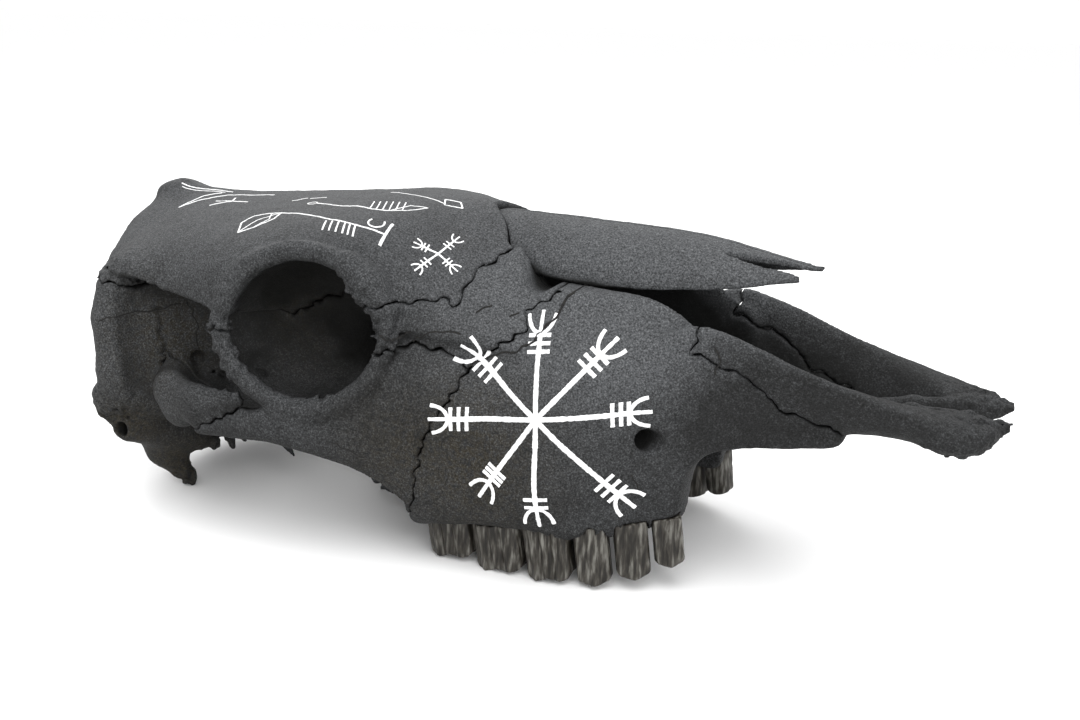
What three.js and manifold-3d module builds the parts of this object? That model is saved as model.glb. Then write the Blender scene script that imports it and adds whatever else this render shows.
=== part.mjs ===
// A polled cow's skull without its lower jaw, painted black, lying on its last molars and on the two
// processes beside the back of the head. All sizes are in millimetres.
//
// The bones are shaped in the skull's own frame: +X towards the nose, +Y to the skull's left, +Z up, with
// the origin on the midline under the back of the last molars, at the level of the biting edges. The two
// halves mirror each other, so most shapes are written for the left half, with y as the distance from the
// midline. The group at the end tips the skull back by restTilt, as it lies on a table.
import * as THREE from "three";
import Module from "manifold-3d";
import { mergeVertices } from "three/addons/utils/BufferGeometryUtils.js";

const wasm = await Module();
wasm.setup();

// How it lies
const restTilt = 8.5; // degrees that the nose is raised
const floorCut = 1; // how much of the lowest teeth and of the two processes the floor wears flat
const seam = 0.3; // gap between two bones, and between a tooth and its socket

// Roof of the skull: from the poll at the back to the root of the nose
const rearEnd = -178;
const roofFront = 62;
const roofTop = curve(
  [rearEnd, 162], [-170, 176], [-158, 183], [-140, 180], [-120, 176], [-80, 172], [0, 166],
  [45, 158], [62, 154],
);
const roofHalfWidth = curve(
  [rearEnd, 16], [-166, 44], [-150, 68], [-136, 82], [-100, 86], [-68, 93], [-42, 92], [0, 80],
  [45, 66], [62, 60],
);
const roofEdge = curve(
  [rearEnd, 156], [-137, 150], [-100, 138], [-72, 132], [-40, 130], [0, 122], [45, 108], [62, 104],
);
const roofDepth = curve([rearEnd, 7], [-100, 8], [-60, 12], [roofFront, 12]);
const roofRoundness = curve(
  [rearEnd, 1.2], [-150, 1.15], [-137, 1.25], [-112, 1.8], [-80, 2.3], [-40, 2.8], [-8, 3],
  [30, 1.7], [50, 1.4],
);

// Braincase, narrower than the roof that overhangs it
const caseFront = -30;
const caseHalfWidth = curve([-168, 44], [-150, 52], [-132, 53], [-90, 48], [-60, 41], [caseFront, 33]);
const caseFloor = curve([-168, 52], [-120, 58], [-80, 63], [caseFront, 70]);
const caseMiddle = 112;

// Back plate of the skull, seen from behind: half its width at each height
const plateHalfWidth = curve(
  [42, 30], [58, 56], [72, 76], [90, 90], [110, 91], [130, 87], [147, 79], [152, 66], [160, 49],
  [168, 30], [178, 8],
);
const plateRear = -173;
const plateThickness = 15;
const plateSweep = 30; // how far its side edges lie in front of its middle

// Slope from the plate's side edge to the braincase: the rear wall of the hollow behind the orbit
const slopeEdge = { x: -150, y: 86 };
const slopeLean = 0.95;
const slopeBottom = 68;
const slopeTop = 150;

// Face: one tapering body from the orbits to the front of the cheek teeth
const faceRear = -24;
const faceFront = 150;
const faceHalfWidth = curve(
  [faceRear, 84], [0, 82], [25, 79], [50, 76], [75, 73], [100, 64], [120, 53], [faceFront, 40],
);
const faceWidest = curve([faceRear, 86], [0, 82], [25, 74], [50, 66], [75, 62], [faceFront, 63]);
const faceTop = curve([faceRear, 168], [0, 165], [50, 156], [100, 150], [faceFront, 136]);
const faceRoundness = curve([faceRear, 2.4], [20, 1.8], [50, 1.4], [75, 1.6], [95, 1.75], [faceFront, 1.8]);
const faceBottom = curve(
  [8, 19.5], [60, 18.5], [82, 12.5], [116, 14], [127, 17], [134, 40], [faceFront, 50],
);
// upper edge of its side wall, free of the nasal bone above it from the second station on
const wallTop = curve(
  [52, 200], [60, 132], [80, 126], [93, 123.5], [116, 119.5], [138, 110], [faceFront, 101],
);

// Orbit: the eye's socket and its rim
const orbit = { x: -30, y: 80, z: 118, halfLength: 38, halfHeight: 34, depth: 50 };
const rimRadius = 4.6;
const rimY = { front: 80, below: 89, rear: 93, above: 82 };

// Palate, nasal cavity and choana
const palateHalfWidth = curve([-30, 38], [40, 44], [90, 42], [120, 32], [160, 26]);
const palateLevel = curve([-30, 30], [100, 30], [135, 44], [160, 50]);
const cavityHalfWidth = curve([50, 16], [70, 22], [100, 30], [150, 32], [180, 28], [215, 21], [245, 9]);
const cavityFloor = curve([50, 68], [70, 56], [130, 54], [160, 57], [245, 57]);
const cavityRear = 52;

// Snout: the side wall that the maxilla and the premaxilla form in front of the teeth
const snoutEnd = 266;
const snoutRear = 116;
const snoutMiddleY = curve(
  [snoutRear, 44], [150, 37.5], [178, 35.5], [205, 32], [225, 28], [245, 24], [258, 19],
  [snoutEnd, 13],
);
const snoutTop = curve(
  [snoutRear, 98], [130, 105], [144, 107], [166, 98], [191, 84.5], [214, 74], [235, 66],
  [252, 60.5], [snoutEnd, 58],
);
const snoutBottom = curve(
  [snoutRear, 50], [150, 53], [178, 54.5], [200, 55.5], [222, 53.5], [240, 48.5], [254, 48],
  [snoutEnd, 54],
);
const snoutLean = curve([snoutRear, 0], [175, 5], [225, 5], [250, 0]); // how far its top leans outwards
const snoutHalfThickness = curve(
  [snoutRear, 6], [175, 4], [205, 5.5], [225, 10], [245, 15], [258, 11], [snoutEnd, 4],
);

// Nasal bone: its crest beside the midline, its outer edge, and how far forward each strip of it runs
const nasalTop = curve([35, 158], [50, 156.2], [86, 150], [134, 141], [170, 129.3], [190, 123.5]);
const nasalEdge = curve([35, 140], [50, 135], [80, 127], [113, 122.5], [155, 120.5], [181, 121]);
const nasalHalfWidth = curve([35, 24], [50, 27], [80, 29.5], [113, 29], [155, 24], [180, 17]);
const nasalRear = curve([0, 35], [1, 50]);
const nasalFront = curve(
  [0, 186], [0.12, 190], [0.3, 172], [0.48, 149], [0.66, 162], [0.86, 181], [1, 179],
);
const nasalThickness = curve([35, 4.5], [150, 3.5], [190, 1.6]);
const nasalBed = 30; // height above the bone that its bed in the skull is cleared to
const cornerGap = 3; // gap that has opened at its outer rear corner

// Cheek teeth from back to front. x is the middle, y the outer face.
const teeth = [
  { name: "molar_3", x: 20.5, y: 69.5, length: 24, width: 21, lobes: 2, tip: 1 },
  { name: "molar_2", x: 45.5, y: 71, length: 25, width: 23, lobes: 2, tip: -4 },
  { name: "molar_1", x: 69.7, y: 70.5, length: 22.6, width: 22, lobes: 2, tip: -7 },
  { name: "premolar_4", x: 89.7, y: 66.5, length: 16.6, width: 19, lobes: 1, tip: -9 },
  { name: "premolar_3", x: 106.6, y: 60, length: 16.4, width: 17, lobes: 1, tip: -7.5 },
  { name: "premolar_2", x: 122.2, y: 52.5, length: 14.2, width: 14, lobes: 1, tip: -3.5 },
];
const rootTop = 21;
const cuspHeight = 3;

// Joints between the bones, as outlines seen from the side, [x, z]
const faceOutline = [
  [58, 200], [54, 150], [82, 124], [66, 117], [68, 110], [54, 103], [44, 97], [36, 84], [24, 70],
  [16, 50], [10, 30], [-24, 10],
  [-24, -30], [300, -30], [300, 200],
];
const snoutOutline = [
  [140, 140], [141, 109], [143, 101], [139, 96], [153, 89], [168, 80], [176, 68], [190, 62],
  [203, 53], [203, 30],
  [300, 30], [300, 140],
];
const cheekOutline = [
  [-120, 60], [-100, 70.5], [-68, 82], [-63, 89], [-72, 97], [-84, 100], [-84, 130], [-48, 130],
  [2, 106], [20, 108], [38, 100], [52, 80],
  [40, 0], [-100, 0],
];
const cheekFrom = 52; // the cheekbone, the lacrimal bone and the arch begin this far from the midline
const frontalOutline = [
  [-190, 200], [-190, 150], [-170, 147], [-137, 143], [-100, 129.5], [-72, 121.5], [-62, 118],
  [-48, 124], [6, 128],
  [32, 126], [37, 121], [39.5, 129], [41.6, 135], [50, 140], [60, 152], [64, 200],
];
const lacrimalOutline = [
  [-8, 128], [6, 128], [32, 126], [37, 121], [39.5, 129], [41.6, 135], [50, 140], [60, 152],
  [90, 124], [66, 100],
  [44, 92], [38, 100], [20, 108], [2, 106], [-8, 106],
];
const lacrimalFrom = 26;
const archOutline = [[-128, 126], [-58, 112], [-58, 70], [-100, 60], [-128, 60]];
const archFrom = 60;
const pterygoidOutline = [[-86, 58], [-30, 58], [-14, 44], [9, 31], [-24, 9], [-86, 9]];

// Smooth curve through a few stations, each given as [place, value], and level beyond its ends.
function curve(...stations) {
  const slope = stations.map((s, i) => {
    const before = stations[Math.max(i - 1, 0)];
    const after = stations[Math.min(i + 1, stations.length - 1)];
    return i === 0 || i === stations.length - 1 ? 0 : (after[1] - before[1]) / (after[0] - before[0]);
  });
  return (place) => {
    if (place <= stations[0][0]) return stations[0][1];
    let i = 0;
    while (i < stations.length - 1 && place > stations[i + 1][0]) i++;
    if (i === stations.length - 1) return stations[i][1];
    const span = stations[i + 1][0] - stations[i][0];
    const t = (place - stations[i][0]) / span;
    const rise = stations[i + 1][1] - stations[i][1];
    const ease = t * t * (3 - 2 * t);
    const lead = t * (1 - t) * (1 - t) * slope[i] * span;
    const trail = t * t * (t - 1) * slope[i + 1] * span;
    return stations[i][1] + ease * rise + lead + trail;
  };
}

// Rounded union and intersection of two fields, blended over a width
function join(a, b, width) {
  const h = Math.max(width - Math.abs(a - b), 0) / width;
  return Math.min(a, b) - (h * h * width) / 4;
}
const meet = (a, b, width) => -join(-a, -b, width);

// Distance outside a superellipse section: dy and dz from its centre
function section(dy, dz, halfWidth, up, down, roundUp, roundDown) {
  const n = dz > 0 ? roundUp : roundDown;
  const r = (Math.abs(dy / halfWidth) ** n + Math.abs(dz / (dz > 0 ? up : down)) ** n) ** (1 / n);
  return r < 1e-6 ? -Math.min(halfWidth, up, down) : Math.hypot(dy, dz) * (1 - 1 / r);
}

// Bar with round ends between two points given as [x, y, z, radius], flattened across y by flat
function bar(x, y, z, a, b, flat = 1) {
  const ax = x - a[0], ay = (y - a[1]) / flat, az = z - a[2];
  const bx = b[0] - a[0], by = (b[1] - a[1]) / flat, bz = b[2] - a[2];
  const t = Math.min(Math.max((ax * bx + ay * by + az * bz) / (bx * bx + by * by + bz * bz), 0), 1);
  const gap = Math.hypot(ax - t * bx, ay - t * by, az - t * bz) - (a[3] + t * (b[3] - a[3]));
  return gap * Math.min(flat, 1);
}

// Bars through several points in turn
function chain(x, y, z, points, flat = 1, width = 4) {
  let f = Infinity;
  for (let i = 0; i + 1 < points.length; i++) {
    const next = bar(x, y, z, points[i], points[i + 1], flat);
    f = f === Infinity ? next : join(f, next, width);
  }
  return f;
}

function ball(x, y, z, centre, radii) {
  const dx = (x - centre[0]) / radii[0], dy = (y - centre[1]) / radii[1], dz = (z - centre[2]) / radii[2];
  const r = Math.hypot(dx, dy, dz);
  const apart = Math.hypot(x - centre[0], y - centre[1], z - centre[2]);
  return r < 1e-6 ? -Math.min(...radii) : ((r - 1) * apart) / r;
}

function roof(x, y, z) {
  const edge = roofEdge(x);
  const f = section(y, z - edge, roofHalfWidth(x), roofTop(x) - edge, roofDepth(x), roofRoundness(x), 2);
  return meet(meet(f, rearEnd - x, 6), x - roofFront, 6);
}

function braincase(x, y, z) {
  const f = section(y, z - caseMiddle, caseHalfWidth(x), 52, caseMiddle - caseFloor(x), 3.5, 3);
  return meet(meet(f, -168 - x, 6), x - caseFront, 12);
}

function backPlate(x, y, z) {
  const rear = plateRear + plateSweep * (y / 90) ** 2;
  const f = meet(y - plateHalfWidth(z), rear - x, 6);
  return meet(meet(f, x - rear - plateThickness, 6), meet(41 - z, z - 184, 4), 6);
}

// Crest down each side of the back plate, ending over the ear opening
const crest = [[-137, 78, 149, 4.5], [-146, 87, 126, 5], [-149, 89, 101, 5.5], [-151, 87, 84, 8]];
const condyle = { at: [-156, 27, 57], radii: [13, 20, 17] };
const paracondylar = [[-154, 62, 66, 12], [-153, 57, 48, 9.5], [-145, 51, 29, 4.5]];
const tympanic = [[-152, 78, 68, 9], [-142, 50, 58, 13], [-134, 40, 46, 4]];
const earHole = [[-153, 92, 67, 4], [-150, 70, 68, 3.5]];
const skullBase = [[-158, 0, 57, 15], [-100, 0, 62, 14], [-50, 0, 76, 13]];
const foramenMagnum = { at: [-170, 0, 76], radii: [62, 19, 18] };

function rearSlope(x, y, z) {
  const rear = plateRear + plateSweep * (y / 90) ** 2;
  const f = (x - slopeEdge.x - slopeLean * (slopeEdge.y - y)) / Math.hypot(1, slopeLean);
  const inside = meet(y - plateHalfWidth(z), rear - x, 6);
  return meet(meet(f, inside, 3), meet(slopeBottom - z, z - slopeTop, 4), 10);
}

function rear(x, y, z) {
  let f = join(braincase(x, y, z), backPlate(x, y, z), 16);
  f = join(f, rearSlope(x, y, z), 10);
  f = join(f, chain(x, y, z, crest), 14);
  f = join(f, chain(x, y, z, skullBase), 10);
  f = join(f, ball(x, y, z, condyle.at, condyle.radii), 8);
  f = join(f, chain(x, y, z, paracondylar, 0.8), 8);
  f = join(f, chain(x, y, z, tympanic), 7);
  f = meet(f, -bar(x, y, z, earHole[0], earHole[1]), 2);
  return meet(f, -ball(x, y, z, foramenMagnum.at, foramenMagnum.radii), 4);
}

// Arch behind the orbit, with the jaw joint's bar under its root
const templeArch = [[-132, 58, 92, 12], [-116, 82, 88, 9], [-96, 90, 84, 8.5], [-70, 91.5, 86, 4]];
const jointBar = [[-113, 46, 80, 9], [-110, 84, 78, 8]];

function arch(x, y, z) {
  return join(chain(x, y, z, templeArch, 0.75), bar(x, y, z, jointBar[0], jointBar[1]), 8);
}

// Cheekbone under the orbit and its tail under the arch
const cheekRear = -97, cheekFront = 12;
const cheekY = curve([cheekRear, 89], [-50, 90], [-15, 84], [cheekFront, 78]);
const cheekZ = curve([cheekRear, 72], [-60, 74], [-30, 72], [cheekFront, 72]);
const cheekHalfHeight = curve([cheekRear, 3.5], [-75, 6.5], [-50, 9], [-25, 15], [cheekFront, 23]);

function cheekbone(x, y, z) {
  const h = cheekHalfHeight(x);
  const f = section(y - cheekY(x), z - cheekZ(x), 5.5, h, h, 2.4, 2.4);
  return meet(meet(f, cheekRear - x, 4), x - cheekFront, 4);
}

function orbitRim(x, y, z) {
  const angle = Math.atan2((z - orbit.z) / orbit.halfHeight, (x - orbit.x) / orbit.halfLength);
  const c = Math.cos(angle), s = Math.sin(angle);
  const ringX = orbit.x + (orbit.halfLength + 2.5) * c;
  const ringZ = orbit.z + (orbit.halfHeight + 2.5) * s;
  const side = c > 0 ? rimY.front * c * c : rimY.rear * c * c;
  const ringY = side + (s > 0 ? rimY.above : rimY.below) * s * s;
  return Math.hypot(x - ringX, y - ringY, z - ringZ) - rimRadius;
}

function faceBody(x, y, z) {
  const mid = faceWidest(x);
  const round = faceRoundness(x);
  let f = section(y, z - mid, faceHalfWidth(x), faceTop(x) - mid, mid - faceBottom(x), round, 12);
  f = meet(meet(f, faceRear - x, 8), x - faceFront, 4);
  f = meet(f, z - wallTop(x), 2);
  // behind the last molar the bone ends steeply, and higher up in a slope that runs back to the cheekbone
  const slope = (z - 39) * 0.74 + x * 0.673;
  return meet(f, Math.min(-slope, 6 - x), 6);
}

const cheekTuber = { at: [62, 68, 42], radii: [24, 9, 15] };
const infraorbital = [[129, 57, 56, 5], [104, 44, 63, 4]];

function snout(x, y, z) {
  const top = snoutTop(x), bottom = snoutBottom(x);
  const half = (top - bottom) / 2;
  const height = z - (top + bottom) / 2;
  const middle = snoutMiddleY(x) + (snoutLean(x) * height) / half;
  const f = section(y - middle, height, snoutHalfThickness(x), half, half, 3, 3);
  return meet(meet(f, snoutRear - x, 4), x - snoutEnd, 3);
}

// Floor of the nose between the snout's walls, and the two rods that run on from it
const palateRods = [[190, 5, 57, 4], [225, 6, 59, 3.5], [250, 11, 57, 4]];

function snoutFloor(x, y, z) {
  const f = meet(y - snoutMiddleY(x), Math.abs(z - 53) - 3.2, 3);
  const plate = meet(meet(f, 124 - x, 3), x - 200, 6);
  return join(plate, chain(x, y, z, palateRods), 4);
}

// Thin plate on each side of the choana, with a ragged lower edge
const wingRear = -80, wingFront = -8;
const wingY = curve([wingRear, 20], [-40, 26], [wingFront, 32]);
const wingBottom = curve([wingRear, 52], [-60, 42], [-42, 22], [-30, 17], [wingFront, 24]);

function wing(x, y, z) {
  const f = meet(Math.abs(y - wingY(x)) - 3, wingBottom(x) - z, 3);
  return meet(meet(f, z - 84, 3), meet(wingRear - x, x - wingFront, 3), 3);
}

const choana = { at: [-42, 0, 48], radii: [60, 16, 20] };

// The whole skull but for the nasal bones and the teeth
function skull(x, signedY, z) {
  const y = Math.abs(signedY);
  let f = join(faceBody(x, y, z), ball(x, y, z, cheekTuber.at, cheekTuber.radii), 12);
  f = join(f, cheekbone(x, y, z), 10);
  f = join(f, roof(x, y, z), 10);
  const socket = ball(x, y, z, [orbit.x, orbit.y, orbit.z], [orbit.halfLength, orbit.depth, orbit.halfHeight]);
  f = meet(f, -socket, 4);
  f = join(f, orbitRim(x, y, z), 5);
  f = join(f, rear(x, y, z), 12);
  f = join(f, arch(x, y, z), 5);
  const mouth = meet(y - palateHalfWidth(x), z - palateLevel(x), 10);
  f = meet(f, -mouth, 5);
  const cavity = meet(meet(y - cavityHalfWidth(x), cavityFloor(x) - z, 14), cavityRear - x, 8);
  f = meet(f, -cavity, 3);
  f = join(f, snout(x, y, z), 8);
  f = join(f, snoutFloor(x, y, z), 4);
  f = join(f, wing(x, y, z), 6);
  f = meet(f, -ball(x, y, z, choana.at, choana.radii), 4);
  return meet(f, -bar(x, y, z, infraorbital[0], infraorbital[1]), 2);
}

// Closed mesh of the places where a field is below 0, one vertex for each sheet of surface in a grid cell
function meshOf(field, low, high, step) {
  const n = low.map((v, i) => Math.ceil((high[i] - v) / step) + 1);
  const at = (i, j, k) => (i * n[1] + j) * n[2] + k;
  const value = new Float32Array(n[0] * n[1] * n[2]);
  for (let i = 0; i < n[0]; i++)
    for (let j = 0; j < n[1]; j++)
      for (let k = 0; k < n[2]; k++)
        value[at(i, j, k)] = field(low[0] + i * step, low[1] + j * step, low[2] + k * step);

  // A cell's corners are numbered by bits: 1 along x, 2 along y, 4 along z.
  const offset = [...Array(8).keys()].map((c) => [c & 1, (c >> 1) & 1, c >> 2]);
  const edges = [];
  for (let a = 0; a < 8; a++) for (const bit of [1, 2, 4]) if (!(a & bit)) edges.push([a, a | bit]);
  const edgeAt = new Map(edges.map(([a, b], i) => [a * 8 + b, i]));
  const faces = [];
  for (const [u, v, w] of [[1, 2, 4], [2, 4, 1], [4, 1, 2]])
    for (const side of [0, w]) faces.push([side, side | u, side | u | v, side | v]);
  const edgeOf = (a, b) => edgeAt.get(Math.min(a, b) * 8 + Math.max(a, b));

  const position = [];
  const vertexOf = new Map(); // cell and edge to vertex
  for (let i = 0; i + 1 < n[0]; i++)
    for (let j = 0; j + 1 < n[1]; j++)
      for (let k = 0; k + 1 < n[2]; k++) {
        const v = offset.map(([x, y, z]) => value[at(i + x, j + y, k + z)]);
        const inside = v.map((x) => x < 0);
        if (inside.every((x) => x === inside[0])) continue;
        const group = edges.map((_, e) => e);
        const root = (e) => (group[e] === e ? e : root(group[e]));
        for (const face of faces) {
          const cut = face.map((c, s) => inside[c] !== inside[face[(s + 1) % 4]]);
          const id = face.map((c, s) => edgeOf(c, face[(s + 1) % 4]));
          const count = cut.filter(Boolean).length;
          if (count === 2) {
            const [a, b] = id.filter((_, s) => cut[s]);
            group[root(a)] = root(b);
          } else if (count === 4)
            for (let s = 0; s < 4; s++) if (inside[face[s]]) group[root(id[s])] = root(id[(s + 3) % 4]);
        }
        const sums = new Map();
        edges.forEach(([a, b], e) => {
          if (inside[a] === inside[b]) return;
          const t = v[a] / (v[a] - v[b]);
          const sum = sums.get(root(e)) ?? [0, 0, 0, 0, []];
          for (let c = 0; c < 3; c++) sum[c] += offset[a][c] + t * (offset[b][c] - offset[a][c]);
          sum[3] += 1;
          sum[4].push(e);
          sums.set(root(e), sum);
        });
        for (const sum of sums.values()) {
          const vertex = position.length / 3;
          [i, j, k].forEach((cell, c) => position.push(low[c] + (cell + sum[c] / sum[3]) * step));
          for (const e of sum[4]) vertexOf.set(at(i, j, k) * 12 + e, vertex);
        }
      }

  const index = [];
  const apart = (a, b) => Math.hypot(...[0, 1, 2].map((c) => position[3 * a + c] - position[3 * b + c]));
  for (let axis = 0; axis < 3; axis++) {
    const [u, v] = [(axis + 1) % 3, (axis + 2) % 3];
    const bit = [1, 2, 4];
    for (let i = 1; i + 1 < n[0]; i++)
      for (let j = 1; j + 1 < n[1]; j++)
        for (let k = 1; k + 1 < n[2]; k++) {
          const here = [i, j, k];
          const next = here.map((c, d) => c + (d === axis ? 1 : 0));
          const a = value[at(...here)] < 0, b = value[at(...next)] < 0;
          if (a === b) continue;
          // the four cells round this edge, and the number that the edge has in each
          const ring = [[0, 0], [-1, 0], [-1, -1], [0, -1]].map(([du, dv]) => {
            const cell = here.slice();
            cell[u] += du;
            cell[v] += dv;
            const corner = (du ? bit[u] : 0) | (dv ? bit[v] : 0);
            return vertexOf.get(at(...cell) * 12 + edgeOf(corner, corner | bit[axis]));
          });
          const [p, q, r, s] = a ? ring : ring.reverse();
          if (apart(p, r) < apart(q, s)) index.push(p, q, r, p, r, s);
          else index.push(q, r, s, q, s, p);
        }
  }
  const geometry = new THREE.BufferGeometry();
  geometry.setAttribute("position", new THREE.Float32BufferAttribute(position, 3));
  geometry.setIndex(index);
  return geometry;
}

// Thins a closed mesh out to a number of triangles: the edges that matter least to its shape go first.
function thinned(geometry, wanted) {
  const p = Array.from(geometry.attributes.position.array);
  const index = geometry.index.array;
  const faces = [];
  for (let i = 0; i < index.length; i += 3) faces.push([index[i], index[i + 1], index[i + 2]]);
  const facesOf = Array.from({ length: p.length / 3 }, () => new Set());
  faces.forEach((face, f) => face.forEach((v) => facesOf[v].add(f)));
  const normalOf = (a, b, c) => {
    const u = [b[0] - a[0], b[1] - a[1], b[2] - a[2]];
    const v = [c[0] - a[0], c[1] - a[1], c[2] - a[2]];
    return [u[1] * v[2] - u[2] * v[1], u[2] * v[0] - u[0] * v[2], u[0] * v[1] - u[1] * v[0]];
  };
  const at = (v) => [p[3 * v], p[3 * v + 1], p[3 * v + 2]];

  // each vertex sums the squared distances to the planes of its faces, as ten coefficients
  const error = Array.from({ length: p.length / 3 }, () => new Float64Array(10));
  for (const face of faces) {
    const corner = face.map(at);
    const n = normalOf(...corner);
    const size = Math.hypot(...n) || 1;
    const [x, y, z] = n.map((c) => c / size);
    const d = -(x * corner[0][0] + y * corner[0][1] + z * corner[0][2]);
    const plane = [x * x, x * y, x * z, x * d, y * y, y * z, y * d, z * z, z * d, d * d];
    for (const v of face) for (let i = 0; i < 10; i++) error[v][i] += plane[i] * size;
  }
  const best = (a, b) => {
    const q = error[a].map((c, i) => c + error[b][i]);
    const cost = ([x, y, z]) =>
      q[0] * x * x + 2 * q[1] * x * y + 2 * q[2] * x * z + 2 * q[3] * x + q[4] * y * y +
      2 * q[5] * y * z + 2 * q[6] * y + q[7] * z * z + 2 * q[8] * z + q[9];
    const [m, n] = [at(a), at(b)];
    const places = [m, n, m.map((c, i) => (c + n[i]) / 2)];
    const minors = [q[4] * q[7] - q[5] * q[5], q[1] * q[7] - q[5] * q[2], q[1] * q[5] - q[4] * q[2]];
    const det = q[0] * minors[0] - q[1] * minors[1] + q[2] * minors[2];
    const scale = q[0] + q[4] + q[7];
    if (Math.abs(det) > 1e-3 * scale ** 3) {
      const crossed = [q[6] * q[7] - q[5] * q[8], q[1] * q[8] - q[6] * q[2], q[4] * q[8] - q[5] * q[6]];
      const x = -(q[3] * minors[0] - q[1] * crossed[0] - q[2] * crossed[2]) / det;
      const y = -(q[0] * crossed[0] - q[3] * minors[1] + q[2] * crossed[1]) / det;
      const z = -(q[0] * crossed[2] - q[1] * crossed[1] + q[3] * minors[2]) / det;
      places.push([x, y, z]);
    }
    const span = Math.hypot(...m.map((c, i) => c - n[i]));
    const near = places.filter((c) => Math.hypot(...c.map((v, i) => v - places[2][i])) < span);
    const costs = near.map(cost);
    const i = costs.indexOf(Math.min(...costs));
    return { a, b, cost: costs[i] + 1e-3 * span, place: near[i] };
  };
  const collapse = ({ a, b, place }) => {
    const around = (v) => new Set([...facesOf[v]].flatMap((f) => faces[f]));
    const common = [...around(a)].filter((v) => v !== a && v !== b && around(b).has(v));
    if (common.length !== 2) return false;
    for (const [v, other] of [[a, b], [b, a]])
      for (const f of facesOf[v]) {
        if (faces[f].includes(other)) continue;
        const old = normalOf(...faces[f].map(at));
        const now = normalOf(...faces[f].map((c) => (c === v ? place : at(c))));
        const dot = old[0] * now[0] + old[1] * now[1] + old[2] * now[2];
        if (dot < 0.35 * Math.hypot(...old) * Math.hypot(...now) || Math.hypot(...now) < 0.1) return false;
      }
    for (const f of [...facesOf[b]]) {
      if (faces[f].includes(a)) {
        for (const v of faces[f]) facesOf[v].delete(f);
        faces[f] = null;
      } else {
        faces[f] = faces[f].map((v) => (v === b ? a : v));
        facesOf[a].add(f);
      }
    }
    facesOf[b].clear();
    for (let i = 0; i < 3; i++) p[3 * a + i] = place[i];
    for (let i = 0; i < 10; i++) error[a][i] += error[b][i];
    return true;
  };

  let left = faces.length;
  for (let done = 1; left > wanted && done > 0; ) {
    const edges = [];
    for (const face of faces) {
      if (!face) continue;
      face.forEach((v, i) => {
        const next = face[(i + 1) % 3];
        if (v < next) edges.push(best(v, next));
      });
    }
    edges.sort((m, n) => m.cost - n.cost);
    const moved = new Set();
    done = 0;
    for (const edge of edges.slice(0, edges.length / 4)) {
      if (left <= wanted || moved.has(edge.a) || moved.has(edge.b) || !collapse(edge)) continue;
      moved.add(edge.a).add(edge.b);
      left -= 2;
      done++;
    }
  }
  const thin = new THREE.BufferGeometry();
  const number = new Map();
  const used = [...new Set(faces.filter(Boolean).flat())];
  used.forEach((v, i) => number.set(v, i));
  thin.setAttribute("position", new THREE.Float32BufferAttribute(used.flatMap(at), 3));
  thin.setIndex(faces.filter(Boolean).flat().map((v) => number.get(v)));
  return thin;
}

function solidOf(geometry) {
  const bare = geometry.clone();
  for (const name of Object.keys(bare.attributes)) if (name !== "position") bare.deleteAttribute(name);
  const merged = mergeVertices(bare, 1e-4);
  const mesh = new wasm.Mesh({
    numProp: 3,
    vertProperties: merged.attributes.position.array,
    triVerts: new Uint32Array(merged.index.array),
  });
  return new wasm.Manifold(mesh);
}

function geometryOf(solid) {
  const mesh = solid.getMesh();
  const geometry = new THREE.BufferGeometry();
  geometry.setAttribute("position", new THREE.BufferAttribute(Float32Array.from(mesh.vertProperties), 3));
  geometry.setIndex(new THREE.BufferAttribute(Uint32Array.from(mesh.triVerts), 1));
  return geometry;
}

// Body of a grid of places with two faces, outer and inner, closed along its four edges
function sheetSolid(rows, columns, outer, inner) {
  const position = [];
  const index = [];
  for (const face of [outer, inner])
    for (let i = 0; i <= rows; i++)
      for (let j = 0; j <= columns; j++) position.push(...face(i / rows, j / columns));
  const at = (side, i, j) => (side * (rows + 1) + i) * (columns + 1) + j;
  for (let i = 0; i < rows; i++)
    for (let j = 0; j < columns; j++) {
      const [a, b, c, d] = [at(0, i, j), at(0, i + 1, j), at(0, i + 1, j + 1), at(0, i, j + 1)];
      const [e, f, g, h] = [at(1, i, j), at(1, i + 1, j), at(1, i + 1, j + 1), at(1, i, j + 1)];
      index.push(a, b, c, a, c, d, e, g, f, e, h, g);
    }
  const rim = [];
  for (let i = 0; i < rows; i++) rim.push([i, 0]);
  for (let j = 0; j < columns; j++) rim.push([rows, j]);
  for (let i = rows; i > 0; i--) rim.push([i, columns]);
  for (let j = columns; j > 0; j--) rim.push([0, j]);
  rim.forEach(([i, j], n) => {
    const [k, l] = rim[(n + 1) % rim.length];
    index.push(at(0, i, j), at(1, i, j), at(1, k, l), at(0, i, j), at(1, k, l), at(0, k, l));
  });
  const geometry = new THREE.BufferGeometry();
  geometry.setAttribute("position", new THREE.Float32BufferAttribute(position, 3));
  geometry.setIndex(index);
  return solidOf(geometry);
}

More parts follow.
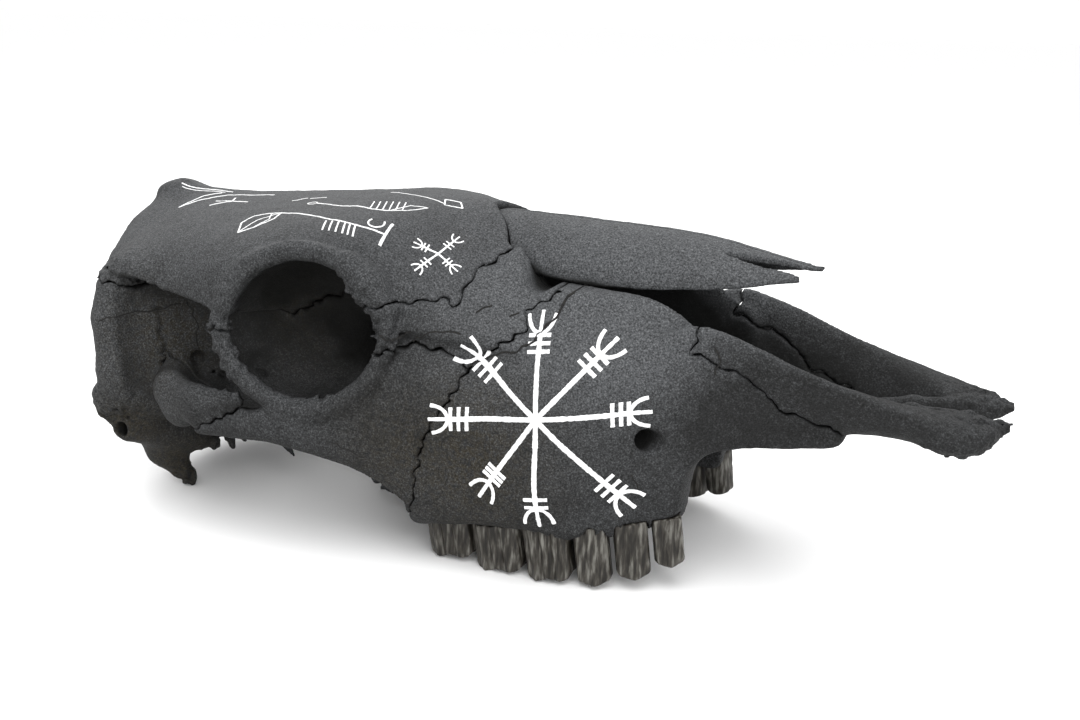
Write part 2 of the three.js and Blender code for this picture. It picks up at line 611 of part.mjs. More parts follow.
// One nasal bone, or with a margin the bed that is cleared for it in the skull
function nasalSolid(side, margin) {
  const place = (along, across, inset, lift) => {
    const fanOut = 140; // from here on each strip runs to its own end
    const rear = nasalRear(across) - (margin ? cornerGap * across : 0) - margin;
    const front = nasalFront(across) + margin;
    const split = 0.7;
    const inRear = rear + ((fanOut - rear) * along) / split;
    const x = along < split ? inRear : fanOut + ((front - fanOut) * (along - split)) / (1 - split);
    const half = nasalHalfWidth(x) + margin - inset;
    const y = margin ? across * half : seam / 2 + across * (half - seam / 2);
    const rise = (1 - across ** 2.2) ** 0.62;
    return [x, side * y, nasalEdge(x) - margin + lift + (nasalTop(x) - nasalEdge(x) - inset) * rise];
  };
  const thick = (i) => nasalThickness(40 + 150 * i);
  const rows = 16, strips = 9;
  const outer = (i, j) => place(i, j, 0, margin ? nasalBed : 0);
  const under = (i, j) => place(i, j, thick(i), 0);
  // the bed's last strip runs out level under the bone's thick outer edge
  const inBed = (i, j) =>
    j < 1 ? place(i, (j * strips) / (strips - 1), thick(i) + 2 * margin, 0) : place(i, 1, 0, 0);
  const inner = margin ? inBed : under;
  return side > 0 ? sheetSolid(rows, strips, outer, inner) : sheetSolid(rows, strips, inner, outer);
}

// One cheek tooth: a column with ridges down its outer face and cusps that wear has left
function toothSolid(tooth, side, margin) {
  const sides = 16;
  const levels = margin ? [rootTop, -20] : [rootTop - seam, 12, 5, 0];
  const turn = Math.atan2(rowSlope(tooth.x), 1);
  const ring = (level, i) => {
    const angle = (i / sides) * 2 * Math.PI;
    const along = Math.sign(Math.cos(angle)) * Math.abs(Math.cos(angle)) ** 0.6;
    const across = Math.sign(Math.sin(angle)) * Math.abs(Math.sin(angle)) ** 0.6;
    const worn = margin ? 0 : 1 - Math.max(level, 0) / rootTop;
    const ridge = across > 0 ? 0.9 * Math.cos(along * Math.PI * tooth.lobes * 2) : 0;
    const u = along * (tooth.length / 2 - 0.3 + margin);
    const v = across * (tooth.width / 2 - 0.8 - 1.2 * worn + margin) + ridge;
    const quarter = tooth.lobes === 2 ? Math.PI / 2 : 0;
    const cusp = across > 0 ? Math.abs(Math.cos((along * Math.PI * tooth.lobes) / 2 + quarter)) : 0;
    const inward = across > 0 ? 1 : 0.7;
    const z = level === 0 && !margin ? tooth.tip + cuspHeight * (1 - 0.8 * cusp) * inward : level;
    const middle = tooth.y - tooth.width / 2;
    const x = tooth.x + u * Math.cos(turn) - v * Math.sin(turn);
    return [x, side * (middle + u * Math.sin(turn) + v * Math.cos(turn)), z];
  };
  const position = [];
  for (const level of levels) for (let i = 0; i < sides; i++) position.push(...ring(level, i));
  const ends = [levels[0], margin ? levels[1] : tooth.tip + cuspHeight];
  for (const z of ends) position.push(tooth.x, side * (tooth.y - tooth.width / 2), z);
  const index = [];
  const last = (levels.length - 1) * sides;
  for (let i = 0; i < sides; i++) {
    const j = (i + 1) % sides;
    for (let k = 0; k < last; k += sides) {
      index.push(k + i, k + sides + i, k + j);
      index.push(k + j, k + sides + i, k + sides + j);
    }
    index.push(last + sides, i, j, last + sides + 1, last + j, last + i);
  }
  if (side < 0) for (let i = 0; i < index.length; i += 3) [index[i], index[i + 1]] = [index[i + 1], index[i]];
  const geometry = new THREE.BufferGeometry();
  geometry.setAttribute("position", new THREE.Float32BufferAttribute(position, 3));
  geometry.setIndex(index);
  return solidOf(geometry);
}

// Slope of the tooth row in plan
function rowSlope(x) {
  const i = Math.max(teeth.findIndex((t) => t.x >= x), 1);
  const before = teeth[i - 1];
  const after = teeth[Math.min(i + 1, teeth.length - 1)];
  return (after.y - before.y) / (after.x - before.x);
}

// Outline moved outwards all round by a distance; its points run clockwise or anticlockwise
function grown(outline, by) {
  const n = outline.length;
  const next = (i) => outline[(i + 1) % n];
  const area = outline.reduce((sum, [x, z], i) => sum + x * next(i)[1] - next(i)[0] * z, 0);
  const turn = Math.sign(area);
  const normal = ([x, z], [u, w]) => {
    const size = Math.hypot(u - x, w - z);
    return [(turn * (w - z)) / size, (-turn * (u - x)) / size];
  };
  return outline.map(([x, z], i) => {
    const before = normal(outline[(i + n - 1) % n], [x, z]);
    const after = normal([x, z], outline[(i + 1) % n]);
    const share = by / (1 + before[0] * after[0] + before[1] * after[1]);
    return [x + share * (before[0] + after[0]), z + share * (before[1] + after[1])];
  });
}

// Prism of a side-view outline, from one distance to another across the skull
function prism(outline, fromY, toY) {
  const shape = new THREE.Shape(outline.map(([x, z]) => new THREE.Vector2(x, z)));
  const geometry = new THREE.ExtrudeGeometry(shape, { depth: toY - fromY, bevelEnabled: false });
  geometry.rotateX(Math.PI / 2).translate(0, toY, 0);
  return solidOf(geometry);
}

// Largest closed body of a solid
function largest(solid) {
  const bodies = solid.decompose();
  return bodies.reduce((a, b) => (b.volume() > a.volume() ? b : a));
}

// The field's box and its cell, and how many triangles its surface is thinned to
const fieldLow = [-186, -106, 8];
const fieldHigh = [276, 106, 194];
const fieldCell = 3.6;
const skullTriangles = 8300;
const whole = solidOf(thinned(meshOf(skull, fieldLow, fieldHigh, fieldCell), skullTriangles));
const far = 160;
const bedMargin = 1.7 * seam;
const behindFace = whole.subtract(prism(grown(faceOutline, seam), -far, far));
const bones = {
  cranium: behindFace.subtract(prism(grown(frontalOutline, seam), -far, far)),
  frontal: behindFace.intersect(prism(frontalOutline, -far, far)),
};
const face = whole.intersect(prism(faceOutline, -far, far));
for (const [name, side] of [["left", 1], ["right", -1]]) {
  const half = side > 0 ? [seam / 2, far] : [-far, -seam / 2];
  const outside = (from) => (side > 0 ? [from, far] : [-far, -from]);
  for (const [bone, outline, from] of [
    ["cheekbone", cheekOutline, cheekFrom],
    ["lacrimal", lacrimalOutline, lacrimalFrom],
    ["temporal_arch", archOutline, archFrom],
    ["pterygoid", pterygoidOutline, seam / 2],
  ]) {
    bones[`${bone}_${name}`] = bones.cranium.intersect(prism(outline, ...outside(from)));
    bones.cranium = bones.cranium.subtract(prism(grown(outline, seam), ...outside(from - seam)));
  }
  bones[`premaxilla_${name}`] = face.intersect(prism(snoutOutline, ...half));
  const halfFace = face.intersect(prism(faceOutline, ...half));
  bones[`maxilla_${name}`] = halfFace.subtract(prism(grown(snoutOutline, seam), -far, far));
  const nasalBedSolid = nasalSolid(side, bedMargin);
  for (const bone of ["cranium", "frontal", `lacrimal_${name}`, `maxilla_${name}`])
    bones[bone] = bones[bone].subtract(nasalBedSolid);
  bones[`nasal_${name}`] = nasalSolid(side, 0);
  for (const tooth of teeth) {
    bones[`${tooth.name}_${name}`] = toothSolid(tooth, side, 0);
    bones[`maxilla_${name}`] = bones[`maxilla_${name}`].subtract(toothSolid(tooth, side, seam));
  }
}

// Worn flat where it rests: the floor, seen from the skull's own frame, cuts its lowest points.
const tilt = THREE.MathUtils.degToRad(restTilt);
const heightOf = (x, z) => z * Math.cos(tilt) + x * Math.sin(tilt);
let lowest = Infinity;
for (const solid of Object.values(bones)) {
  const points = solid.getMesh().vertProperties;
  for (let i = 0; i < points.length; i += 3) lowest = Math.min(lowest, heightOf(points[i], points[i + 2]));
}
const floorDepth = 40;
const floor = new THREE.BoxGeometry(700, 300, floorDepth);
floor.translate(0, 0, lowest + floorCut - floorDepth / 2).rotateY(tilt);
const floorSolid = solidOf(floor);

const colours = { bone: 0x33363a, tooth: 0x6a6863 };
const skullGroup = new THREE.Group();
for (const [name, solid] of Object.entries(bones)) {
  const isTooth = name.includes("molar");
  const material = new THREE.MeshStandardMaterial({
    color: isTooth ? colours.tooth : colours.bone,
    roughness: isTooth ? 0.5 : 0.75,
    metalness: 0,
  });
  const mesh = new THREE.Mesh(geometryOf(largest(solid.subtract(floorSolid))), material);
  mesh.name = name;
  skullGroup.add(mesh);
}
skullGroup.rotation.y = -tilt;
const group = new THREE.Group();
group.add(skullGroup);
group.updateMatrixWorld(true);
const box = new THREE.Box3().setFromObject(group, true);
group.position.set(-(box.min.x + box.max.x) / 2, 0, -box.min.z);
export default group;
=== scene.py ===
import itertools
import math

import bpy
import numpy as np
import openvdb
from mathutils import Matrix, Vector


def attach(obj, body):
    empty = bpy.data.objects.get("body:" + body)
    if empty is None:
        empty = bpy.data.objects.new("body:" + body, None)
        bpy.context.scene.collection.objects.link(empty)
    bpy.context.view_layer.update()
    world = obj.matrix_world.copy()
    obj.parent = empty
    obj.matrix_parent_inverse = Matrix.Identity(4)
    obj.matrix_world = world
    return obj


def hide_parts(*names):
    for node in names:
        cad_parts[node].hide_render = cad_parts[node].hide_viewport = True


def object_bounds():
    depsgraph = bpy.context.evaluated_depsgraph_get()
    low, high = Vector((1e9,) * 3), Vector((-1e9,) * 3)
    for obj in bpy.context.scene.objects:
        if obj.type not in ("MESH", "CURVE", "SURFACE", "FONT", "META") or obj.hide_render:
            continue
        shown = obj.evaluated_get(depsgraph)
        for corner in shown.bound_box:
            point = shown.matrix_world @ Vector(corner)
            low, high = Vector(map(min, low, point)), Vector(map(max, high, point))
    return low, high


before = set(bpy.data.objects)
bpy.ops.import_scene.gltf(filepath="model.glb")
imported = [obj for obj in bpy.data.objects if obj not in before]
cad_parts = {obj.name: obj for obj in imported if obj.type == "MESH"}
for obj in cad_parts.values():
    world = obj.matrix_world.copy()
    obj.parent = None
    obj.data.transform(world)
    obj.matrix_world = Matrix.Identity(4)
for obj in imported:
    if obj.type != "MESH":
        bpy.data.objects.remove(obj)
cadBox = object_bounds()
mm = 0.001  # shapes are written in millimetres, and the meshes are made in metres

# The skull's own frame has +X towards the nose, y as the distance from the midline and +Z up, with its
# origin under the back of the last molars. It lies tipped back, as in the frame.
lie = {"tilt": 8.5, "shift": (-26.505, 0.0, -3.365)}

# Where the camera stands: degrees round and above the target, and millimetres from it
view = {"azimuth": 22.65, "elevation": 16.96, "roll": 1.83, "target": (8.32, 0, 84.0), "distance": 561.6,
        "lens": 37.276, "sensor": 36, "clipStart": 50}


def addCamera():
    azimuth, elevation = math.radians(view["azimuth"]), math.radians(view["elevation"])
    level = math.cos(elevation)
    back = Vector((math.sin(azimuth) * level, -math.cos(azimuth) * level, math.sin(elevation)))
    camera = bpy.data.objects.new("camera", bpy.data.cameras.new("camera"))
    camera.data.lens = view["lens"]
    camera.data.sensor_width = view["sensor"]
    camera.data.clip_start = view["clipStart"] * mm
    turn = back.to_track_quat("Z", "Y").to_matrix() @ Matrix.Rotation(math.radians(view["roll"]), 3, "Z")
    place = (Vector(view["target"]) + back * view["distance"]) * mm
    camera.matrix_world = Matrix.Translation(place) @ turn.to_4x4()
    bpy.context.collection.objects.link(camera)
    bpy.context.scene.camera = camera


addCamera()

# Fields: each gives the distance from a surface in millimetres, below 0 inside it
farAway = 60.0
margin = 14.0  # how far round a shape its field is worked out
barJoin = 4.0  # how widely the bars of one shape run into each other
curveSteps = 500
notZero = {"section": 1e-5, "ball": 1e-4}  # keeps the divisions away from 0


def curve(*stations):
    # smooth curve through a few stations, each [place, value], level beyond its ends
    place = np.array([s[0] for s in stations], float)
    value = np.array([s[1] for s in stations], float)
    slope = np.zeros(len(place))
    slope[1:-1] = (value[2:] - value[:-2]) / (place[2:] - place[:-2])
    table = np.linspace(place[0], place[-1], curveSteps)
    i = np.clip(np.searchsorted(place, table) - 1, 0, len(place) - 2)
    span = place[i + 1] - place[i]
    t = (table - place[i]) / span
    ease = t * t * (3 - 2 * t) * (value[i + 1] - value[i])
    result = value[i] + ease + t * (1 - t) ** 2 * slope[i] * span + t * t * (t - 1) * slope[i + 1] * span
    return lambda x: np.interp(x, table, result).astype(np.float32)


def join(a, b, width):
    h = np.maximum(width - np.abs(a - b), 0) / width
    return np.minimum(a, b) - h * h * (width / 4)


def meet(a, b, width):
    return -join(-a, -b, width)


def section(dy, dz, halfWidth, up, down, roundUp, roundDown):
    # superellipse across the skull, with its own height and roundness above and below its middle
    above = dz > 0
    n = np.where(above, roundUp, roundDown)
    across = np.abs(dy) / halfWidth + notZero["section"]
    along = np.abs(dz) / np.where(above, up, down) + notZero["section"]
    r = (across ** n + along ** n) ** (1 / n)
    return np.hypot(dy, dz) * (1 - 1 / r)


def bars(points, flat=1.0):
    # round bars through several [x, y, z, radius] in turn, flattened across y by flat
    p = np.array(points, np.float32)
    low, high = (p[:, :3] - p[:, 3:]).min(0), (p[:, :3] + p[:, 3:]).max(0)

    def field(x, y, z):
        f = None
        for a, b in zip(p[:-1], p[1:]):
            ax, ay, az = x - a[0], (y - a[1]) / flat, z - a[2]
            bx, by, bz = b[0] - a[0], (b[1] - a[1]) / flat, b[2] - a[2]
            t = np.clip((ax * bx + ay * by + az * bz) / (bx * bx + by * by + bz * bz), 0, 1)
            apart = np.sqrt((ax - t * bx) ** 2 + (ay - t * by) ** 2 + (az - t * bz) ** 2)
            gap = (apart - a[3] - t * (b[3] - a[3])) * min(flat, 1.0)
            f = gap if f is None else join(f, gap, barJoin)
        return f
    return {"low": low, "high": high, "field": field}


def ball(at, radii):
    at, radii = np.array(at, np.float32), np.array(radii, np.float32)

    def field(x, y, z):
        dx, dy, dz = x - at[0], y - at[1], z - at[2]
        r = np.sqrt((dx / radii[0]) ** 2 + (dy / radii[1]) ** 2 + (dz / radii[2]) ** 2) + notZero["ball"]
        return np.sqrt(dx * dx + dy * dy + dz * dz) * (1 - 1 / r)
    return {"low": at - radii, "high": at + radii, "field": field}


def form(field, low, high):
    return {"low": np.array(low, np.float32), "high": np.array(high, np.float32), "field": field}


def blend(f, place, shape, width, cut=False):
    # adds a shape to a field, or cuts it out, at the places near the shape
    low, high = shape["low"] - margin, shape["high"] + margin
    inside = [(p > l) & (p < h) for p, l, h in zip(place, low, high)]
    near = np.flatnonzero(inside[0] & inside[1] & inside[2])
    if near.size:
        g = shape["field"](*[p[near] for p in place])
        f[near] = meet(f[near], -g, width) if cut else join(f[near], g, width)


def cutEnds(f, x, shape):
    # ends a form at its rear and its front
    f = meet(f, shape["rear"] - x, shape["rearJoin"])
    return meet(f, x - shape["front"], shape["frontJoin"])


def bentWave(u, v, rate, bend, bendRate):
    # a wave along u, bent by another one along v
    return np.sin(rate * u + bend * np.sin(bendRate * v))


def nearness(place, zone):
    # 1 in the middle of a zone [x, y, z, radius], and less and less round it
    x, y, z = place
    return np.exp(-((x - zone[0]) ** 2 + (y - zone[1]) ** 2 + (z - zone[2]) ** 2) / zone[3] ** 2)


# Roof of the skull, from the poll to the root of the nose
roof = {
    "rear": -178, "front": 62, "rearJoin": 6, "frontJoin": 6, "roundBelow": 2,
    "top": curve([-178, 162], [-170, 176], [-158, 183], [-140, 180], [-120, 176], [-80, 172], [0, 166],
                 [45, 158], [62, 154]),
    "halfWidth": curve([-178, 16], [-166, 44], [-150, 68], [-136, 82], [-100, 86], [-68, 93], [-42, 92],
                       [0, 80], [45, 66], [62, 60]),
    "edge": curve([-178, 156], [-137, 150], [-100, 138], [-72, 132], [-40, 130], [0, 122], [45, 108],
                  [62, 104]),
    "depth": curve([-178, 7], [-100, 8], [-60, 12], [62, 12]),
    "roundness": curve([-178, 1.2], [-150, 1.15], [-137, 1.25], [-112, 1.8], [-80, 2.3], [-40, 2.8], [-8, 3],
                       [30, 1.7], [50, 1.4]),
}


def roofField(x, y, z):
    edge = roof["edge"](x)
    f = section(y, z - edge, roof["halfWidth"](x), roof["top"](x) - edge, roof["depth"](x),
                roof["roundness"](x), roof["roundBelow"])
    return cutEnds(f, x, roof)


# Back of the skull: first the braincase and the plate behind it
case = {
    "rear": -168, "front": -30, "rearJoin": 6, "frontJoin": 12, "middle": 112, "up": 52, "roundUp": 3.5,
    "roundDown": 3,
    "halfWidth": curve([-168, 44], [-150, 52], [-132, 53], [-90, 48], [-60, 41], [-30, 33]),
    "floor": curve([-168, 52], [-120, 58], [-80, 63], [-30, 70]),
}
plate = {
    "rear": -173, "thickness": 15, "edgeThickness": 4, "thinAt": 86, "thinOver": 30, "sweep": 30,
    "sweepAt": 90, "bottom": 41, "top": 184, "edgeJoin": 6, "faceJoin": 4, "endJoin": 6,
    "halfWidth": curve([42, 30], [58, 56], [72, 76], [90, 90], [110, 91], [130, 87], [147, 79], [152, 66],
                       [160, 49], [168, 30], [178, 8]),
}

# The rear wall of the hollow behind the orbit leans from the plate's edge, at x and y, to the braincase
rearWall = {"x": -142, "y": 88, "lean": 0.8, "bottom": 68, "top": 150, "plateJoin": 3, "endJoin": 4,
            "join": 10}


def caseField(x, y, z):
    middle = case["middle"]
    f = section(y, z - middle, case["halfWidth"](x), case["up"], middle - case["floor"](x), case["roundUp"],
                case["roundDown"])
    return cutEnds(f, x, case)


def plateOutline(x, y, z):
    # how far back the plate stands, and the field of its edge and back
    back = plate["rear"] + plate["sweep"] * (y / plate["sweepAt"]) ** 2
    return back, meet(y - plate["halfWidth"](z), back - x, plate["edgeJoin"])


def plateField(x, y, z):
    back, f = plateOutline(x, y, z)
    thicker = plate["thickness"] - plate["edgeThickness"]
    thickness = plate["edgeThickness"] + thicker * np.clip((plate["thinAt"] - y) / plate["thinOver"], 0, 1)
    ends = meet(plate["bottom"] - z, z - plate["top"], plate["faceJoin"])
    return meet(meet(f, x - back - thickness, plate["faceJoin"]), ends, plate["endJoin"])


def rearWallField(x, y, z):
    lean = rearWall["lean"]
    f = (x - rearWall["x"] - lean * (rearWall["y"] - y)) / math.hypot(1, lean)
    f = meet(f, plateOutline(x, y, z)[1], rearWall["plateJoin"])
    ends = meet(rearWall["bottom"] - z, z - rearWall["top"], rearWall["endJoin"])
    return meet(f, ends, rearWall["join"])


# Crests, condyles, processes, holes and the base of the skull's back, and how widely each is joined or cut
rear = {
    "crest": bars([[-137, 78, 149, 4.5], [-146, 87, 126, 3.6], [-149, 89, 101, 4], [-153, 87, 84, 6.5]]),
    "condyle": ball([-156, 27, 57], [13, 20, 17]),
    "paracondylar": bars([[-154, 62, 66, 12], [-153, 57, 48, 9.5], [-145, 51, 29, 4.5]], 0.8),
    "tympanic": bars([[-152, 78, 68, 9], [-142, 50, 58, 13], [-134, 40, 46, 4]]),
    "earHole": bars([[-153, 92, 67, 4], [-150, 70, 68, 3.5]]),
    "base": bars([[-158, 0, 57, 15], [-100, 0, 62, 14], [-50, 0, 76, 13]]),
    "spinalHole": ball([-170, 0, 76], [62, 19, 18]),
    "backHollows": [ball([-180, 0, 70], [19, 54, 26]), ball([-184, 27, 116], [18, 26, 20]),
                    ball([-172, 66, 108], [11, 18, 26])],
    "ridge": bars([[-168, 0, 150, 8], [-168, 0, 118, 4], [-166, 0, 98, 2]]),
    "mastoid": bars([[-160, 82, 86, 7], [-157, 84, 79, 7]]),
    "plateJoin": 16, "wallJoin": 10, "hollowJoin": 5,
    "joins": {"crest": 14, "ridge": 6, "base": 10, "condyle": 8, "paracondylar": 8, "tympanic": 7,
              "mastoid": 4},
    "cuts": {"earHole": 2, "spinalHole": 4},
}


def rearField(x, y, z):
    f = join(caseField(x, y, z), plateField(x, y, z), rear["plateJoin"])
    f = join(f, rearWallField(x, y, z), rear["wallJoin"])
    place = (x, y, z)
    for hollow in rear["backHollows"]:
        blend(f, place, hollow, rear["hollowJoin"], cut=True)
    for name, width in rear["joins"].items():
        blend(f, place, rear[name], width)
    for name, width in rear["cuts"].items():
        blend(f, place, rear[name], width, cut=True)
    return f


# Arch behind the orbit with the bar of the jaw joint, and the cheekbone under it
arch = {
    "bow": bars([[-132, 58, 92, 12], [-116, 82, 88, 9], [-96, 90, 84, 8.5], [-70, 91.5, 86, 4]], 0.75),
    "jointBar": bars([[-113, 46, 80, 9], [-110, 84, 78, 8]]),
}
cheek = {
    "rear": -97, "front": 12, "rearJoin": 4, "frontJoin": 4, "halfThickness": 5.5, "roundness": 2.4,
    "y": curve([-97, 89], [-50, 90], [-15, 84], [12, 78]),
    "z": curve([-97, 72], [-60, 74], [-30, 72], [12, 72]),
    "halfHeight": curve([-97, 3.5], [-75, 6.5], [-50, 9], [-25, 15], [12, 23]),
}


def cheekField(x, y, z):
    h = cheek["halfHeight"](x)
    f = section(y - cheek["y"](x), z - cheek["z"](x), cheek["halfThickness"], h, h, cheek["roundness"],
                cheek["roundness"])
    return cutEnds(f, x, cheek)


# Orbit and its rim
orbit = {"x": -30, "y": 80, "z": 118, "halfLength": 38, "halfHeight": 34, "depth": 50, "rimRadius": 4.6,
         "rimFront": 80, "rimBelow": 89, "rimRear": 93, "rimAbove": 82, "rimOut": 2.5,
         "plate": bars([[-70, 44, 124, 5], [-60, 38, 112, 4.5], [-48, 33, 97, 4.5]])}


def rimField(x, y, z):
    angle = np.arctan2((z - orbit["z"]) / orbit["halfHeight"], (x - orbit["x"]) / orbit["halfLength"])
    c, s = np.cos(angle), np.sin(angle)
    ringX = orbit["x"] + (orbit["halfLength"] + orbit["rimOut"]) * c
    ringZ = orbit["z"] + (orbit["halfHeight"] + orbit["rimOut"]) * s
    ringY = np.where(c > 0, orbit["rimFront"], orbit["rimRear"]) * c * c
    ringY = ringY + np.where(s > 0, orbit["rimAbove"], orbit["rimBelow"]) * s * s
    return np.sqrt((x - ringX) ** 2 + (y - ringY) ** 2 + (z - ringZ) ** 2) - orbit["rimRadius"]


# Face: one tapering body from the orbits to the front of the cheek teeth
face = {
    "rear": -24, "front": 150, "rearJoin": 8, "frontJoin": 4, "roundBelow": 12, "wallJoin": 2,
    "slopeLevel": 39, "slopeRise": 0.74, "slopeRun": 0.673, "slopeFront": 6, "slopeJoin": 6,
    "halfWidth": curve([-24, 84], [0, 82], [25, 79], [50, 76], [75, 73], [100, 64], [120, 53], [150, 40]),
    "widest": curve([-24, 86], [0, 82], [25, 74], [50, 66], [75, 62], [150, 63]),
    "top": curve([-24, 168], [0, 165], [50, 156], [100, 150], [150, 136]),
    "roundness": curve([-24, 2.4], [20, 1.8], [50, 1.4], [75, 1.6], [95, 1.75], [150, 1.8]),
    "bottom": curve([8, 19.5], [60, 18.5], [82, 12.5], [116, 14], [127, 17], [134, 40], [150, 50]),
    "wallTop": curve([52, 200], [60, 132], [80, 126], [93, 123.5], [116, 119.5], [138, 110], [150, 101]),
    "tuber": ball([62, 68, 42], [24, 9, 15]),
    "infraorbital": bars([[129, 57, 55, 6], [104, 44, 63, 4]]),
}


def faceField(x, y, z):
    middle = face["widest"](x)
    f = section(y, z - middle, face["halfWidth"](x), face["top"](x) - middle, middle - face["bottom"](x),
                face["roundness"](x), face["roundBelow"])
    f = meet(cutEnds(f, x, face), z - face["wallTop"](x), face["wallJoin"])
    # behind the last molar the bone runs up to the cheekbone
    slope = (z - face["slopeLevel"]) * face["slopeRise"] + x * face["slopeRun"]
    return meet(f, np.minimum(-slope, face["slopeFront"] - x), face["slopeJoin"])


# Palate, nose and snout
nose = {
    "palateHalfWidth": curve([-30, 38], [40, 44], [90, 42], [120, 32], [160, 26]),
    "palateLevel": curve([-30, 30], [100, 30], [135, 44], [160, 50]),
    "cavityHalfWidth": curve([50, 16], [70, 22], [100, 30], [150, 32], [180, 28], [215, 21], [245, 9]),
    "cavityFloor": curve([50, 68], [70, 56], [130, 54], [160, 57], [245, 57]),
    "palateJoin": 10, "cavityJoin": 14, "cavityRear": 52, "cavityRearJoin": 8,
    "choana": ball([-42, 0, 48], [60, 16, 20]),
}
wing = {
    "y": curve([-80, 20], [-40, 26], [-8, 32]),
    "bottom": curve([-80, 52], [-60, 42], [-42, 22], [-30, 17], [-8, 24]),
    "rear": -80, "front": -8, "top": 84, "half": 3, "join": 3,
}
snout = {
    "rear": 116, "front": 266, "rearJoin": 4, "frontJoin": 3, "roundness": 3,
    "middleY": curve([116, 44], [150, 37.5], [178, 35.5], [205, 32], [225, 28], [245, 24], [258, 19],
                     [266, 13]),
    "top": curve([116, 98], [130, 105], [144, 107], [166, 98], [191, 84.5], [214, 74], [235, 66],
                 [252, 60.5], [266, 58]),
    "bottom": curve([116, 50], [150, 53], [178, 54.5], [200, 55.5], [222, 53.5], [240, 48.5], [254, 48],
                    [266, 54]),
    "lean": curve([116, 0], [175, 5], [225, 5], [250, 0]),
    "halfThickness": curve([116, 6], [175, 4], [205, 5.5], [225, 10], [245, 15], [258, 11], [266, 4]),
    "rods": bars([[190, 5, 57, 4], [225, 6, 59, 3.5], [250, 11, 57, 4]]),
}
snoutFloor = {"rear": 124, "front": 200, "rearJoin": 3, "frontJoin": 6, "level": 53, "half": 3.2, "join": 3}


def mouthField(x, y, z):
    return meet(y - nose["palateHalfWidth"](x), z - nose["palateLevel"](x), nose["palateJoin"])


def cavityField(x, y, z):
    f = meet(y - nose["cavityHalfWidth"](x), nose["cavityFloor"](x) - z, nose["cavityJoin"])
    return meet(f, nose["cavityRear"] - x, nose["cavityRearJoin"])


def snoutField(x, y, z):
    top, bottom = snout["top"](x), snout["bottom"](x)
    half = (top - bottom) / 2
    height = z - (top + bottom) / 2
    middle = snout["middleY"](x) + snout["lean"](x) * height / half
    f = section(y - middle, height, snout["halfThickness"](x), half, half, snout["roundness"],
                snout["roundness"])
    return cutEnds(f, x, snout)


def snoutFloorField(x, y, z):
    f = meet(y - snout["middleY"](x), np.abs(z - snoutFloor["level"]) - snoutFloor["half"],
             snoutFloor["join"])
    return cutEnds(f, x, snoutFloor)


def wingField(x, y, z):
    width = wing["join"]
    f = meet(np.abs(y - wing["y"](x)) - wing["half"], wing["bottom"](x) - z, width)
    ends = meet(wing["rear"] - x, x - wing["front"], width)
    return meet(meet(f, z - wing["top"], width), ends, width)


# Damage, nearly all of it on the skull's right side: chips out of the orbit's front rim and a slit there,
# splinters under the base, small holes, and where edges have crumbled. Places are [x, y, z, radius].
damage = {
    "shelf": bars([[-3, -80, 146, 6], [4, -78, 136, 8], [9, -77, 127, 7]]),
    "chips": [[-15, -84, 139, 3.2], [-7, -84, 132, 2.6], [-5.5, -83, 124, 2.6], [0, -86, 121, 2.0]],
    "slit": bars([[-3, -92, 120.2, 1.5], [14, -78, 120.8, 0.9]]),
    "splinters": [bars([[-140, -16, 56, 6], [-136, -31, 51, 4], [-122, -32, 51, 3.5]]),
                  bars([[-140, -31, 51, 4], [-141, -31, 45, 1.5]]), bars([[-130, -32, 50, 3.5],
                                                                          [-128, -32, 40, 1.3]]),
                  bars([[-122, -32, 51, 3.5], [-119, -32, 45, 1.3]]),
                  bars([[-112, -15, 56, 5], [-102, -25, 46, 3], [-93, -26, 35, 1.0]])],
    "holes": [[-118, -58, 98, 3.4], [-128, -64, 95, 2.6], [-113, -54, 88.5, 2.1], [-108, -53, 88, 1.9],
              [-140, -76, 96, 1.5], [-90, -46, 86, 3.2], [-77, -44, 82, 2.2], [-66, -42, 82.5, 2.2],
              [-67.5, -34, 113, 5], [131, -49, 66, 2.2], [144.5, -42, 55, 1.6], [-142, -60, 126, 1.6]],
    "crumbled": [[-142, -78, 149, 12], [-128, -80, 145, 10], [-112, -84, 140, 9], [-72, -90, 104, 15],
                 [-74, -90, 122, 12], [-2, -84, 132, 12], [8, -82, 112, 11], [258, -20, 56, 14],
                 [246, -28, 50, 12], [10, -62, 24, 9], [-26, -86, 84, 10], [-150, -86, 80, 12],
                 [258, 20, 56, 14], [-142, 78, 149, 12], [-130, -42, 47, 10], [-145, -52, 30, 9],
                 [-40, -26, 20, 12], [-40, 26, 20, 12]],
    "depth": 1.5, "reach": 8, "shelfJoin": 4, "splinterJoin": 2.5, "holeJoin": 1.2, "slitJoin": 0.8,
    "waves": [(0.83, 2.1, 0.47), (0.91, 1.7, 0.53), (1.07, 1.9, 0.41)], "lastWave": 0.57,
}


def raggedNoise(x, y, z):
    first, second, third = damage["waves"]
    a = bentWave(x, y, *first) * bentWave(y, z, *second)
    b = bentWave(z, x, *third) * np.sin(damage["lastWave"] * (x + y + z))
    return a + b


def addDamage(f, x, y, z):
    place = (x, y, z)
    blend(f, place, damage["shelf"], damage["shelfJoin"])
    for splinter in damage["splinters"]:
        blend(f, place, splinter, damage["splinterJoin"])
    near = np.flatnonzero(np.abs(f) < damage["reach"])
    spots = (x[near], y[near], z[near])
    rough = np.zeros(len(near), np.float32)
    for zone in damage["crumbled"]:
        rough = np.maximum(rough, nearness(spots, zone))
    f[near] += damage["depth"] * rough * raggedNoise(*spots)
    for chip in damage["chips"] + damage["holes"]:
        blend(f, place, ball(chip[:3], [chip[3]] * 3), damage["holeJoin"], cut=True)
    blend(f, place, damage["slit"], damage["slitJoin"], cut=True)


